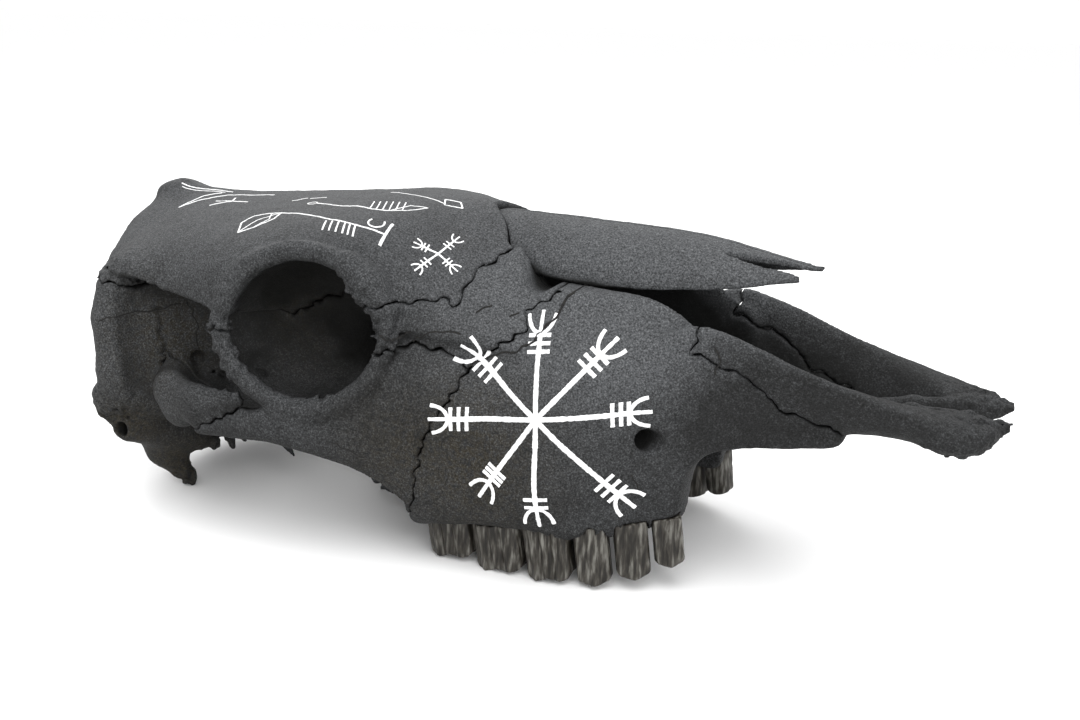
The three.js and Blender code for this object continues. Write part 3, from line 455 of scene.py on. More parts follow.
# The forms in the order in which they go into the skull: the shape, the width of its join, and True where it
# is cut out. A field is worked out only near the two corners beside it.
socket = ball([orbit["x"], orbit["y"], orbit["z"]], [orbit["halfLength"], orbit["depth"],
                                                     orbit["halfHeight"]])
forms = [
    (form(faceField, [-24, 0, 10], [150, 86, 170]), 12),
    (face["tuber"], 12),
    (form(cheekField, [-97, 72, 45], [12, 98, 96]), 10),
    (form(roofField, [-178, 0, 90], [62, 95, 186]), 10),
    (socket, 4, True),
    (form(rimField, [-76, 74, 76], [18, 100, 160]), 5),
    (orbit["plate"], 5),
    (form(rearField, [-178, 0, 20], [-30, 98, 186]), 12),
    (arch["bow"], 5),
    (arch["jointBar"], 8),
    (form(mouthField, [-60, 0, -20], [165, 46, 50]), 5, True),
    (form(cavityField, [50, 0, 54], [280, 34, 190]), 3, True),
    (form(snoutField, [116, 0, 45], [266, 50, 108]), 8),
    (form(snoutFloorField, [124, 0, 48], [200, 46, 58]), 4),
    (snout["rods"], 4),
    (form(wingField, [-80, 16, 17], [-8, 36, 84]), 6),
    (nose["choana"], 4, True),
    (face["infraorbital"], 2, True),
]


def skullField(x, signedY, z):
    place = (x, np.abs(signedY), z)
    f = np.full(x.shape, farAway, np.float32)
    for one in forms:
        blend(f, place, *one)
    addDamage(f, x, signedY, z)
    return f


# Joints between the bones, as outlines seen from the side, [x, z]
outlines = {
    "face": [[58, 200], [54, 150], [82, 124], [66, 117], [68, 110], [54, 103], [44, 97], [36, 84], [24, 70],
             [16, 50], [10, 30], [-24, 10], [-24, -30], [300, -30], [300, 200]],
    "snout": [[140, 140], [141, 109], [143, 101], [139, 96], [153, 89], [168, 80], [176, 68], [190, 62],
              [203, 53], [203, 30], [300, 30], [300, 140]],
    "frontal": [[-190, 200], [-190, 150], [-170, 147], [-137, 143], [-100, 129.5], [-72, 121.5], [-62, 118],
                [-48, 124], [6, 128], [32, 126], [37, 121], [39.5, 129], [41.6, 135], [50, 140], [60, 152],
                [64, 200]],
    "cheekbone": [[-120, 60], [-100, 70.5], [-68, 82], [-63, 89], [-72, 97], [-84, 100], [-84, 130],
                  [-48, 130], [2, 106], [20, 108], [38, 100], [52, 80], [40, 0], [-100, 0]],
    "lacrimal": [[-8, 128], [6, 128], [32, 126], [37, 121], [39.5, 129], [41.6, 135], [50, 140], [60, 152],
                 [90, 124], [66, 100], [44, 92], [38, 100], [20, 108], [2, 106], [-8, 106]],
    "temporal_arch": [[-128, 126], [-58, 112], [-58, 70], [-100, 60], [-128, 60]],
    "pterygoid": [[-86, 58], [-30, 58], [-14, 44], [9, 31], [-24, 9], [-86, 9]],
}

# How far from the midline a bone begins, the gap between two bones, and how their joint wavers
joints = {
    "from": {"cheekbone": 52, "lacrimal": 26, "temporal_arch": 68, "pterygoid": 0},
    "gap": 0.5, "waver": 1.1, "waves": [(0.9, 2, 0.31), (0.83, 1.7, 0.27)], "lastWave": (0.71, 0.5),
}

# The grid that the bones are sampled on: its fine cells lie in bricks, and only bricks near the surface count
grid = {"low": (-190.0, -110.0, 5.0), "high": (280.0, 110.0, 200.0), "step": 1.35, "brick": 4, "band": 3.0,
        "near": 1.9, "atOnce": 4000, "filled": 2, "trim": 3}
cellCorners = list(itertools.product((0, 1), repeat=3))


def sampleSkull():
    step, brick = grid["step"], grid["brick"]
    count = [int((h - l) / (step * brick)) + 2 for l, h in zip(grid["low"], grid["high"])]
    axes = [np.float32(l) + np.arange(n, dtype=np.float32) * np.float32(step * brick)
            for l, n in zip(grid["low"], count)]
    x, y, z = np.meshgrid(*axes, indexing="ij")
    coarse = skullField(x.ravel(), y.ravel(), z.ravel()).reshape(count)
    near = np.abs(coarse) < grid["near"] * step * brick
    active = np.zeros(count, bool)  # a brick is worked out if any of its eight corners is near the surface
    for i, j, k in cellCorners:
        active[: count[0] - i, : count[1] - j, : count[2] - k] |= near[i:, j:, k:]
    fine = coarse.repeat(brick, 0).repeat(brick, 1).repeat(brick, 2)
    starts = np.argwhere(active) * brick
    inner = np.stack(np.meshgrid(*[np.arange(brick)] * 3, indexing="ij"), -1).reshape(-1, 3)
    for part in np.array_split(starts, max(1, len(starts) // grid["atOnce"])):
        cells = (part[:, None, :] + inner[None]).reshape(-1, 3)
        p = cells.astype(np.float32) * np.float32(step) + np.array(grid["low"], np.float32)
        fine[cells[:, 0], cells[:, 1], cells[:, 2]] = skullField(p[:, 0].copy(), p[:, 1].copy(),
                                                                 p[:, 2].copy())
    return fine, coarse


def outlineField(outline, shape):
    # distance from an outline on the grid's side view, below 0 inside, with a wavering edge
    step = grid["step"]
    x = grid["low"][0] + np.arange(shape[0]) * step
    z = grid["low"][2] + np.arange(shape[2]) * step
    x, z = np.meshgrid(x, z, indexing="ij")
    first, second = joints["waves"]
    wave = bentWave(x, z, *first) * bentWave(z, x, *second)
    x = x + joints["waver"] * wave
    z = z + joints["waver"] * np.sin(x * joints["lastWave"][0] + z * joints["lastWave"][1])
    distance = np.full(x.shape, 1e9)
    inside = np.zeros(x.shape, bool)
    for (ax, az), (bx, bz) in zip(outline, outline[1:] + outline[:1]):
        t = np.clip(((x - ax) * (bx - ax) + (z - az) * (bz - az)) / ((bx - ax) ** 2 + (bz - az) ** 2), 0, 1)
        distance = np.minimum(distance, np.hypot(x - ax - t * (bx - ax), z - az - t * (bz - az)))
        if az != bz:
            crosses = (az > z) != (bz > z)
            inside ^= crosses & (x < ax + (z - az) * (bx - ax) / (bz - az))
    return np.where(inside, -distance, distance).astype(np.float32)[:, None, :]


def toFrame(points):
    # from the skull's own frame in millimetres to the part's frame in metres
    tilt = math.radians(lie["tilt"])
    x = points[:, 0] * math.cos(tilt) - points[:, 2] * math.sin(tilt)
    z = points[:, 0] * math.sin(tilt) + points[:, 2] * math.cos(tilt)
    return np.stack([x + lie["shift"][0], points[:, 1] + lie["shift"][1], z + lie["shift"][2]], 1) * mm


def fromFrame(points):
    tilt = math.radians(lie["tilt"])
    p = points / mm - np.array(lie["shift"])
    x = p[:, 0] * math.cos(tilt) + p[:, 2] * math.sin(tilt)
    z = p[:, 2] * math.cos(tilt) - p[:, 0] * math.sin(tilt)
    return np.stack([x, p[:, 1], z], 1)


def largestBody(points, quads):
    label = np.arange(len(points))
    while True:
        least = label[quads].min(1)
        new = label.copy()
        for corner in range(4):
            np.minimum.at(new, quads[:, corner], least)
        new = new[new]
        if (new == label).all():
            break
        label = new
    names, count = np.unique(label, return_counts=True)
    keep = label == names[count.argmax()]
    number = np.cumsum(keep) - 1
    return points[keep], number[quads[keep[quads[:, 0]]]]


def skin(field, low, step):
    # closed quads where a dense field crosses 0, its largest body only
    band = grid["band"]
    volume = openvdb.FloatGrid(band)
    volume.copyFromArray(np.clip(field / step, -band, band).astype(np.float32))
    points, quads = largestBody(*volume.convertToQuads(isovalue=0.0))
    return points * step + np.array(low), quads


def pieceFromMesh(name, points, quads):
    mesh = bpy.data.meshes.new(name)
    mesh.vertices.add(len(points))
    mesh.vertices.foreach_set("co", np.ascontiguousarray(toFrame(points), np.float32).ravel())
    mesh.loops.add(quads.size)
    mesh.loops.foreach_set("vertex_index", np.ascontiguousarray(quads, np.int32).ravel())
    mesh.polygons.add(len(quads))
    mesh.polygons.foreach_set("loop_start", np.arange(0, quads.size, 4, dtype=np.int32))
    mesh.polygons.foreach_set("loop_total", np.full(len(quads), 4, np.int32))
    mesh.update(calc_edges=True)
    mesh.shade_smooth()
    piece = bpy.data.objects.new(name, mesh)
    bpy.context.collection.objects.link(piece)
    print(name, "triangles", 2 * len(quads))
    return piece


def boneMesh(name, field):
    # trims the grid to the bone before its surface is taken
    filled = field < grid["filled"] * grid["step"]
    spans = []
    for axis in range(3):
        used = np.flatnonzero(filled.any(tuple(a for a in range(3) if a != axis)))
        spans.append(slice(max(used[0] - grid["trim"], 0), used[-1] + grid["trim"] + 1))
    low = [l + s.start * grid["step"] for l, s in zip(grid["low"], spans)]
    return pieceFromMesh(name, *skin(field[tuple(spans)], low, grid["step"]))


def outsideOf(side, distance):
    y = grid["low"][1] + np.arange(skull.shape[1]) * grid["step"]
    return (distance - side * y).astype(np.float32)[None, :, None]


sides = (("left", 1), ("right", -1))


def makeBones():
    gap = joints["gap"] / 2
    region = {name: outlineField(outline, skull.shape) for name, outline in outlines.items()}
    behindFace = np.maximum(skull, gap - region["face"])
    bones = {"frontal": np.maximum(behindFace, region["frontal"] + gap)}
    cranium = np.maximum(behindFace, gap - region["frontal"])
    for name, side in sides:
        for bone in ("cheekbone", "lacrimal", "temporal_arch", "pterygoid"):
            own = np.maximum(region[bone], outsideOf(side, joints["from"][bone]))
            bones[bone + "_" + name] = np.maximum(cranium, own + gap)
            cranium = np.maximum(cranium, gap - own)
        inFace = np.maximum(np.maximum(skull, region["face"] + gap), outsideOf(side, gap))
        bones["premaxilla_" + name] = np.maximum(inFace, region["snout"] + gap)
        bones["maxilla_" + name] = np.maximum(inFace, gap - region["snout"])
    bones["cranium"] = cranium
    return bones


# Nasal bones: half tubes beside the midline, forked at the front
nasal = {
    "top": curve([35, 158], [50, 156.2], [86, 150], [134, 141], [170, 129.3], [190, 123.5]),
    "edge": curve([35, 140], [50, 135], [80, 127], [113, 122.5], [155, 120.5], [181, 121]),
    "halfWidth": curve([35, 24], [50, 27], [80, 29.5], [113, 29], [155, 24], [180, 17]),
    "rear": curve([0, 35], [1, 50]),
    "front": curve([0, 186], [0.12, 190], [0.3, 172], [0.48, 149], [0.66, 162], [0.86, 181], [1, 179]),
    "thickness": curve([35, 4.5], [150, 3.5], [190, 1.8]),
    "depth": 8, "innerDepth": 12, "roundness": 1.9, "roundBelow": 2, "overhang": 1.2, "rearSlope": 0.85,
    "frontSlope": 0.6, "step": 0.8, "low": (30, -1, 112), "high": (196, 34, 164),
    "bed": 0.5, "bedLow": (28, -36, 112), "bedHigh": (200, 36, 199),
}


def nasalField(x, y, z, grow=0.0):
    # grow widens it to the bed that is cleared for it in the other bones
    edge, half = nasal["edge"](x), nasal["halfWidth"](x) + grow
    height = nasal["top"](x) - edge + grow
    thick = nasal["thickness"](x) + 2 * grow
    outer = section(y, z - edge, half, height, nasal["depth"], nasal["roundness"], nasal["roundBelow"])
    inner = section(y, z - edge + thick, half - thick, height, nasal["innerDepth"], nasal["roundness"],
                    nasal["roundBelow"])
    across = np.clip(y / half, 0, 1)
    sheet = np.maximum(outer, -inner)
    if grow:
        sheet = np.where(z > edge, -inner, np.maximum(outer, edge - thick - z))
        sheet = np.maximum(sheet, y - half)
    sheet = np.maximum(sheet, edge - nasal["overhang"] - grow - z)
    fromRear = (nasal["rear"](across) - grow - x) * nasal["rearSlope"]
    fromFront = (x - nasal["front"](across) - grow) * nasal["frontSlope"]
    return np.maximum(np.maximum(sheet, fromRear), fromFront)


def sampleBox(low, high, step):
    axes = [np.arange(l, h + step, step, dtype=np.float32) for l, h in zip(low, high)]
    return np.meshgrid(*axes, indexing="ij")


def addPair(name, field, low, step):
    # the piece on the left, and its mirror image on the right
    points, quads = skin(field, low, step)
    pieces[name + "_left"] = pieceFromMesh(name + "_left", points, quads)
    pieces[name + "_right"] = pieceFromMesh(name + "_right", points * np.array([1, -1, 1]), quads[:, ::-1])


def makeNasals():
    x, y, z = sampleBox(nasal["low"], nasal["high"], nasal["step"])
    field = np.maximum(nasalField(x, np.abs(y), z), joints["gap"] / 2 - y)
    addPair("nasal", field, nasal["low"], nasal["step"])


# Cheek teeth from back to front: x is the middle, y the outer face, tip the lowest point
teeth = {
    "molar_3": {"x": 20.5, "y": 69.5, "length": 24, "width": 21, "lobes": 2, "tip": 1},
    "molar_2": {"x": 45.5, "y": 71, "length": 25, "width": 23, "lobes": 2, "tip": -4},
    "molar_1": {"x": 69.7, "y": 70.5, "length": 22.6, "width": 22, "lobes": 2, "tip": -7},
    "premolar_4": {"x": 89.7, "y": 66.5, "length": 16.6, "width": 19, "lobes": 1, "tip": -9},
    "premolar_3": {"x": 106.6, "y": 60, "length": 16.4, "width": 17, "lobes": 1, "tip": -7.5},
    "premolar_2": {"x": 122.2, "y": 52.5, "length": 14.2, "width": 14, "lobes": 1, "tip": -3.5},
}
tooth = {"top": 20.7, "cusp": 3.0, "cuspDepth": 0.8, "innerCusp": 0.7, "ridge": 1.0, "taper": 1.2,
         "endGap": 0.3, "sideGap": 0.8, "roundness": 3.3, "cup": 1.6, "cupSpread": 2.6, "biteSlope": 0.8,
         "biteJoin": 1.2, "topJoin": 1, "step": 0.6, "room": 2, "roomOut": 3, "socketGap": 0.35,
         "bedRoom": 4, "bedOut": 5, "bedLow": 6, "bedHigh": 26}


def rowTurn(name):
    # how far the tooth turns to follow the row in plan
    row = list(teeth.values())
    i = max(list(teeth).index(name), 1)
    before, after = row[i - 1], row[min(i + 1, len(row) - 1)]
    return math.atan2(after["y"] - before["y"], after["x"] - before["x"])


def toothField(name, x, y, z, socket=False):
    one, turn = teeth[name], rowTurn(name)
    dx, dy = x - one["x"], y - one["y"] + one["width"] / 2
    u = dx * math.cos(turn) + dy * math.sin(turn)
    v = dy * math.cos(turn) - dx * math.sin(turn)
    halfLength, halfWidth = one["length"] / 2 - tooth["endGap"], one["width"] / 2 - tooth["sideGap"]
    along = np.clip(u / halfLength, -1, 1)
    outer = np.clip(v / halfWidth, 0, 1)
    ribs = np.cos(along * math.pi * one["lobes"] * 2)
    worn = tooth["taper"] * (1 - np.clip(z, 0, tooth["top"]) / tooth["top"])
    v = v - outer * tooth["ridge"] * ribs
    f = section(u, v, halfLength, halfWidth - worn, halfWidth - worn, tooth["roundness"], tooth["roundness"])
    if socket:
        return np.maximum(f, z - tooth["top"])
    phase = math.pi / 2 if one["lobes"] == 2 else 0
    cusps = np.abs(np.cos(along * math.pi * one["lobes"] / 2 + phase))
    cups = tooth["cup"] * np.cos(v / halfWidth * tooth["cupSpread"]) * np.cos(along * math.pi * one["lobes"])
    cusps = (1 - tooth["cuspDepth"] * cusps) * np.where(v > 0, 1, tooth["innerCusp"])
    bite = one["tip"] + tooth["cusp"] * cusps + np.maximum(cups, 0)
    f = meet(f, (bite - z) * tooth["biteSlope"], tooth["biteJoin"])
    return meet(f, z - tooth["top"], tooth["topJoin"])


def makeTeeth():
    room, roomOut = tooth["room"], tooth["roomOut"]
    for name, one in teeth.items():
        half = one["length"] / 2 + room
        low = (one["x"] - half, one["y"] - one["width"] - room, one["tip"] - roomOut)
        high = (one["x"] + half, one["y"] + roomOut, tooth["top"] + room)
        addPair(name, toothField(name, *sampleBox(low, high, tooth["step"])), low, tooth["step"])


def gridPart(low, high):
    # the part of the bones' grid between two corners, and its places
    step, start = grid["step"], grid["low"]
    spans = [slice(int((l - g) / step), int((h - g) / step)) for l, h, g in zip(low, high, start)]
    axes = [np.float32(g) + np.arange(s.start, s.stop, dtype=np.float32) * np.float32(step)
            for g, s in zip(start, spans)]
    return tuple(spans), np.meshgrid(*axes, indexing="ij")


def clearBeds(bones):
    # room for the nasal bones and the teeth in the bones that hold them
    spans, (x, y, z) = gridPart(nasal["bedLow"], nasal["bedHigh"])
    bed = nasalField(x, np.abs(y), z, nasal["bed"])
    for bone in ("cranium", "frontal", "lacrimal_left", "lacrimal_right", "maxilla_left", "maxilla_right"):
        bones[bone][spans] = np.maximum(bones[bone][spans], -bed)
    for side, sign in sides:
        for name, one in teeth.items():
            half = one["length"] / 2 + tooth["bedRoom"]
            inner, outer = one["y"] - one["width"] - tooth["bedRoom"], one["y"] + tooth["bedOut"]
            ends = (inner, outer) if sign > 0 else (-outer, -inner)
            spans, (x, y, z) = gridPart((one["x"] - half, ends[0], tooth["bedLow"]),
                                        (one["x"] + half, ends[1], tooth["bedHigh"]))
            socket = toothField(name, x, y * sign, z, socket=True) - tooth["socketGap"]
            bones["maxilla_" + side][spans] = np.maximum(bones["maxilla_" + side][spans], -socket)


print("sampling the skull")
pieces = {}
skull, skullCoarse = sampleSkull()
bones = makeBones()
clearBeds(bones)
for boneName, boneField in bones.items():
    pieces[boneName] = boneMesh(boneName, boneField)
makeNasals()
makeTeeth()


# Materials


def addNode(tree, kind, **sockets):
    # a node with its settings and input values; an input given as a socket is linked
    node = tree.nodes.new(kind)
    for name, value in sockets.items():
        if name in node.bl_rna.properties:
            setattr(node, name, value)
            continue
        number = int(name[2:]) if name.startswith("in") and name[2:].isdigit() else None
        socket = node.inputs[number] if number is not None else node.inputs[name.replace("_", " ")]
        if isinstance(value, bpy.types.NodeSocket):
            tree.links.new(value, socket)
        else:
            socket.default_value = value
    return node


def ramp(tree, value, *stops):
    # colour ramp through (place, grey or colour) stops
    node = addNode(tree, "ShaderNodeValToRGB", Fac=value)
    elements = node.color_ramp.elements
    while len(elements) < len(stops):
        elements.new(0.5)
    for element, (place, colour) in zip(elements, stops):
        element.position = place
        element.color = (colour,) * 3 + (1,) if isinstance(colour, float) else (*colour, 1)
    return node.outputs["Color"]


def mixColour(tree, amount, base, colour):
    # a plain colour mixed into another one
    return addNode(tree, "ShaderNodeMix", data_type="RGBA", in0=amount, in6=base, in7=(*colour, 1)).outputs[2]


def calc(tree, how, *values):
    node = addNode(tree, "ShaderNodeMath", operation=how)
    for socket, value in zip(node.inputs, values):
        if isinstance(value, bpy.types.NodeSocket):
            tree.links.new(value, socket)
        else:
            socket.default_value = value
    return node.outputs[0]


def noise(tree, **settings):
    return addNode(tree, "ShaderNodeTexNoise", **settings).outputs[0]


def swingOf(tree, value, amount):
    # a value between 0 and 1 as a swing to both sides of 0
    return calc(tree, "MULTIPLY", calc(tree, "SUBTRACT", value, 0.5), amount)


def attribute(tree, name):
    return addNode(tree, "ShaderNodeAttribute", attribute_name=name).outputs["Fac"]


def newMaterial(name, look, paint=None):
    # paint gives the colour and the height of small bumps, or None, from the tree and each point's place;
    # without it the look's own colour is taken
    material = bpy.data.materials.new(name)
    material.use_nodes = True
    tree = material.node_tree
    tree.nodes.clear()
    place = addNode(tree, "ShaderNodeTexCoord").outputs["Object"]
    colour, height = paint(tree, place) if paint else (look["colour"], None)
    shader = addNode(tree, "ShaderNodeBsdfPrincipled", Base_Color=colour, Roughness=look["roughness"],
                     Specular_IOR_Level=look["specular"])
    if height:
        bump = addNode(tree, "ShaderNodeBump", Height=height, Strength=look["bump"],
                       Distance=look["bumpDepth"])
        tree.links.new(bump.outputs[0], shader.inputs["Normal"])
    addNode(tree, "ShaderNodeOutputMaterial", Surface=shader.outputs[0])
    return material


# The black paint on the bone, with pores, pale flecks, brown stains, a patch of rust, painted light and
# painted shade
boneLook = {
    "dark": (0.012, 0.0122, 0.0124), "pale": (0.062, 0.0645, 0.068),
    "paleAt": 0.9, "fleck": (0.15, 0.155, 0.16),
    "stain": (0.027, 0.022, 0.013), "rust": (0.045, 0.024, 0.012), "black": (0.0025, 0.0025, 0.002),
    "broad": {"Scale": 70.0, "Detail": 6.0, "Roughness": 0.6}, "broadSwing": 0.55,
    "mottle": {"Scale": 420.0, "Detail": 4.0, "Roughness": 0.7}, "mottleSwing": 0.7,
    "grain": {"Scale": 1250.0, "Detail": 3.0, "Roughness": 0.75}, "poreScale": 480.0,
    "stainStops": ((0.36, 0.0), (0.6, 0.95)), "rustStops": ((0.35, 0.2), (0.6, 0.9)),
    "fleckStops": ((0.52, 0.0), (0.66, 1.0)), "fleckByTone": (0.75, 0.16),
    "poreStops": ((0.06, 1.0), (0.2, 0.0)), "poreByWear": (0.8, 0.12),
    "hollowShadeStops": ((0.03, 0.0), (0.5, 0.9)), "shadeStops": ((0.36, 1.0), (0.49, 0.0)), "shade": 0.75,
    "roughness": 0.7, "specular": 0.18, "bump": 0.8, "bumpDepth": 0.0006,
}


def paintBone(tree, place):
    look = boneLook
    broad, grain, mottle = [noise(tree, Vector=place, **look[key]) for key in ("broad", "grain", "mottle")]
    pores = addNode(tree, "ShaderNodeTexVoronoi", Vector=place, Scale=look["poreScale"]).outputs["Distance"]
    cloud = calc(tree, "ADD", swingOf(tree, broad, look["broadSwing"]),
                 swingOf(tree, mottle, look["mottleSwing"]))
    # painted light and shade: the attribute makes the paint paler where it faces up and on the upper face,
    # darker low down
    tone = calc(tree, "ADD", attribute(tree, "tone"), cloud)
    colour = ramp(tree, tone, (0.0, look["dark"]), (look["paleAt"], look["pale"]))
    stained = calc(tree, "MULTIPLY", attribute(tree, "warm"), ramp(tree, mottle, *look["stainStops"]))
    colour = mixColour(tree, stained, colour, look["stain"])
    rusty = calc(tree, "MULTIPLY", attribute(tree, "rust"), ramp(tree, mottle, *look["rustStops"]))
    colour = mixColour(tree, rusty, colour, look["rust"])
    flecks = calc(tree, "MULTIPLY", ramp(tree, grain, *look["fleckStops"]),
                  calc(tree, "MULTIPLY_ADD", tone, *look["fleckByTone"]))
    colour = mixColour(tree, flecks, colour, look["fleck"])
    holes = calc(tree, "MULTIPLY", ramp(tree, pores, *look["poreStops"]),
                 calc(tree, "MULTIPLY_ADD", attribute(tree, "worn"), *look["poreByWear"]))
    # painted shade: the paint is darkened towards black where it lies deep in hollows
    hollow = ramp(tree, attribute(tree, "hollow"), *look["hollowShadeStops"])
    shade = calc(tree, "MULTIPLY", ramp(tree, grain, *look["shadeStops"]), look["shade"])
    dark = calc(tree, "MAXIMUM", calc(tree, "MAXIMUM", holes, shade), hollow)
    return mixColour(tree, dark, colour, look["black"]), calc(tree, "SUBTRACT", grain, holes)


# The other materials: streaked teeth with painted shade in their hollows, white paint, the dark of the cracks
# and the floor
toothLook = {
    "stretch": (1.0, 1.0, 0.16), "streaks": {"Scale": 520.0, "Detail": 4.0}, "black": (0.004, 0.004, 0.003),
    "stops": ((0.38, (0.009, 0.0075, 0.0055)), (0.52, (0.036, 0.032, 0.026)), (0.68, (0.15, 0.146, 0.13))),
    "hollowShadeStops": ((0.1, 0.0), (0.9, 0.85)),
    "roughness": 0.5, "specular": 0.3, "bump": 0.5, "bumpDepth": 0.0005,
}
whiteLook = {"grain": {"Scale": 700.0, "Detail": 4.0}, "stops": ((0.3, (0.55, 0.56, 0.57)),
                                                                 (0.5, (0.86, 0.86, 0.86))),
             "roughness": 0.6, "specular": 0.5, "bump": 0.4, "bumpDepth": 0.0003}
crackLook = {"grain": {"Scale": 900.0, "Detail": 2.0}, "stops": ((0.4, (0.003, 0.003, 0.003)),
                                                                 (0.7, (0.012, 0.011, 0.009))),
             "roughness": 0.95, "specular": 0.5}
floorLook = {"colour": (0.95, 0.95, 0.95, 1), "roughness": 0.9, "specular": 0.5}


def paintTooth(tree, place):
    stretched = addNode(tree, "ShaderNodeMapping", Vector=place, Scale=toothLook["stretch"]).outputs[0]
    streaks = noise(tree, Vector=stretched, **toothLook["streaks"])
    # painted shade: the teeth are darkened towards black where they lie deep in hollows
    hollow = ramp(tree, attribute(tree, "hollow"), *toothLook["hollowShadeStops"])
    return mixColour(tree, hollow, ramp(tree, streaks, *toothLook["stops"]), toothLook["black"]), streaks


def paintWhite(tree, place):
    grain = noise(tree, Vector=place, **whiteLook["grain"])
    return ramp(tree, grain, *whiteLook["stops"]), grain


def paintCrack(tree, place):
    return ramp(tree, noise(tree, Vector=place, **crackLook["grain"]), *crackLook["stops"]), None


print("materials")
bonePaint = newMaterial("black_painted_bone", boneLook, paintBone)
toothEnamel = newMaterial("stained_tooth", toothLook, paintTooth)
whitePaint = newMaterial("white_paint", whiteLook, paintWhite)
crackBlack = newMaterial("dark_crack", crackLook, paintCrack)


# Geometry Nodes


def newTree(name, *inputs):
    # a node group that takes and gives geometry, with named inputs
    tree = bpy.data.node_groups.new(name, "GeometryNodeTree")
    tree.interface.new_socket("Geometry", in_out="INPUT", socket_type="NodeSocketGeometry")
    tree.interface.new_socket("Geometry", in_out="OUTPUT", socket_type="NodeSocketGeometry")
    for label, kind in inputs:
        tree.interface.new_socket(label, in_out="INPUT", socket_type="NodeSocket" + kind)
    return tree, tree.nodes.new("NodeGroupInput").outputs, tree.nodes.new("NodeGroupOutput").inputs[0]


def settle(piece, tree, **values):
    # runs a node group on a piece and keeps the result as its plain mesh
    modifier = piece.modifiers.new(tree.name, "NODES")
    modifier.node_group = tree
    for socket in tree.interface.items_tree:
        if socket.in_out == "INPUT" and socket.name in values:
            modifier[socket.identifier] = values[socket.name]
    made = bpy.data.meshes.new_from_object(piece.evaluated_get(bpy.context.evaluated_depsgraph_get()))
    piece.modifiers.remove(modifier)
    old = piece.data
    made.name = old.name
    piece.data = made
    bpy.data.meshes.remove(old)


def named(tree, name):
    return addNode(tree, "GeometryNodeInputNamedAttribute", data_type="FLOAT", Name=name).outputs[0]


def endTree(tree, geometry, given, out):
    # gives the geometry out as real geometry in the given material
    real = addNode(tree, "GeometryNodeRealizeInstances", Geometry=geometry).outputs[0]
    done = addNode(tree, "GeometryNodeSetMaterial", Geometry=real, Material=given["Material"])
    tree.links.new(done.outputs[0], out)
    return tree


# How deep the weathering goes in metres, how fine each noise is, and how much of it the teeth take
weather = {"Broad": 0.0011, "Fine": 0.0005, "Pits": 0.0016}
weatherLook = {"scales": {"Broad": 90.0, "Fine": 420.0}, "detail": 3.0, "pitScale": 260.0, "pitSize": 2.2,
               "toothShare": 0.3}


def weatherTree():
    # moves a bone's surface in and out by broad and fine noise, and pits it where it is worn
    tree, given, out = newTree("weather", ("Broad", "Float"), ("Fine", "Float"), ("Pits", "Float"),
                               ("Seed", "Float"), ("Material", "Material"))
    place = addNode(tree, "GeometryNodeInputPosition").outputs[0]
    parts = []
    for depth, scale in weatherLook["scales"].items():
        waves = noise(tree, noise_dimensions="4D", Vector=place, W=given["Seed"], Scale=scale,
                      Detail=weatherLook["detail"])
        parts.append(swingOf(tree, waves, given[depth]))
    cells = addNode(tree, "ShaderNodeTexVoronoi", Vector=place, Scale=weatherLook["pitScale"]).outputs
    pit = calc(tree, "SUBTRACT", calc(tree, "MULTIPLY", cells["Distance"], weatherLook["pitSize"]), 1.0)
    pit = calc(tree, "MULTIPLY", calc(tree, "MINIMUM", pit, 0.0), named(tree, "worn"))
    parts.append(calc(tree, "MULTIPLY", pit, given["Pits"]))
    depth = calc(tree, "ADD", calc(tree, "ADD", parts[0], parts[1]), parts[2])
    normal = addNode(tree, "GeometryNodeInputNormal").outputs[0]
    offset = addNode(tree, "ShaderNodeVectorMath", operation="SCALE", in0=normal, Scale=depth).outputs[0]
    moved = addNode(tree, "GeometryNodeSetPosition", Geometry=given["Geometry"], Offset=offset).outputs[0]
    return endTree(tree, moved, given, out)


# Where the bone is worn and pitted, as [x, y, z, radius], besides the rims of the orbits
wornZones = [[-142, 80, 148, 14], [-115, 84, 140, 10], [-73, 90, 100, 17], [-73, 90, 120, 14],
             [2, 84, 128, 15], [12, 80, 112, 12], [-20, 86, 84, 16], [-50, 92, 86, 12], [258, 18, 55, 18],
             [240, 24, 52, 14], [-150, 86, 82, 14], [-145, 52, 30, 12], [30, 58, 22, 9], [128, 52, 20, 12],
             [147, 36, 105, 8]]
rimWear = {"amount": 0.8, "reach": 3.5}


def giveValues(piece, name, values):
    # an attribute that the weathering or a material reads
    piece.data.attributes.new(name, "FLOAT", "POINT").data.foreach_set("value", values.astype(np.float32))


def giveWear(piece, points):
    place = (points[:, 0], np.abs(points[:, 1]), points[:, 2])
    worn = np.exp(-(np.maximum(rimField(*place), 0) / rimWear["reach"]) ** 2) * rimWear["amount"]
    for zone in wornZones:
        worn = np.maximum(worn, nearness(place, zone))
    giveValues(piece, "worn", worn)


# Rays in all directions, reach cells of the coarse grid long and a golden angle apart, in radians. A cell is
# taken as solid where the field is less than solidBelow.
rays = {"count": 42, "reach": 13, "angle": 2.39996, "solidBelow": 1.5}


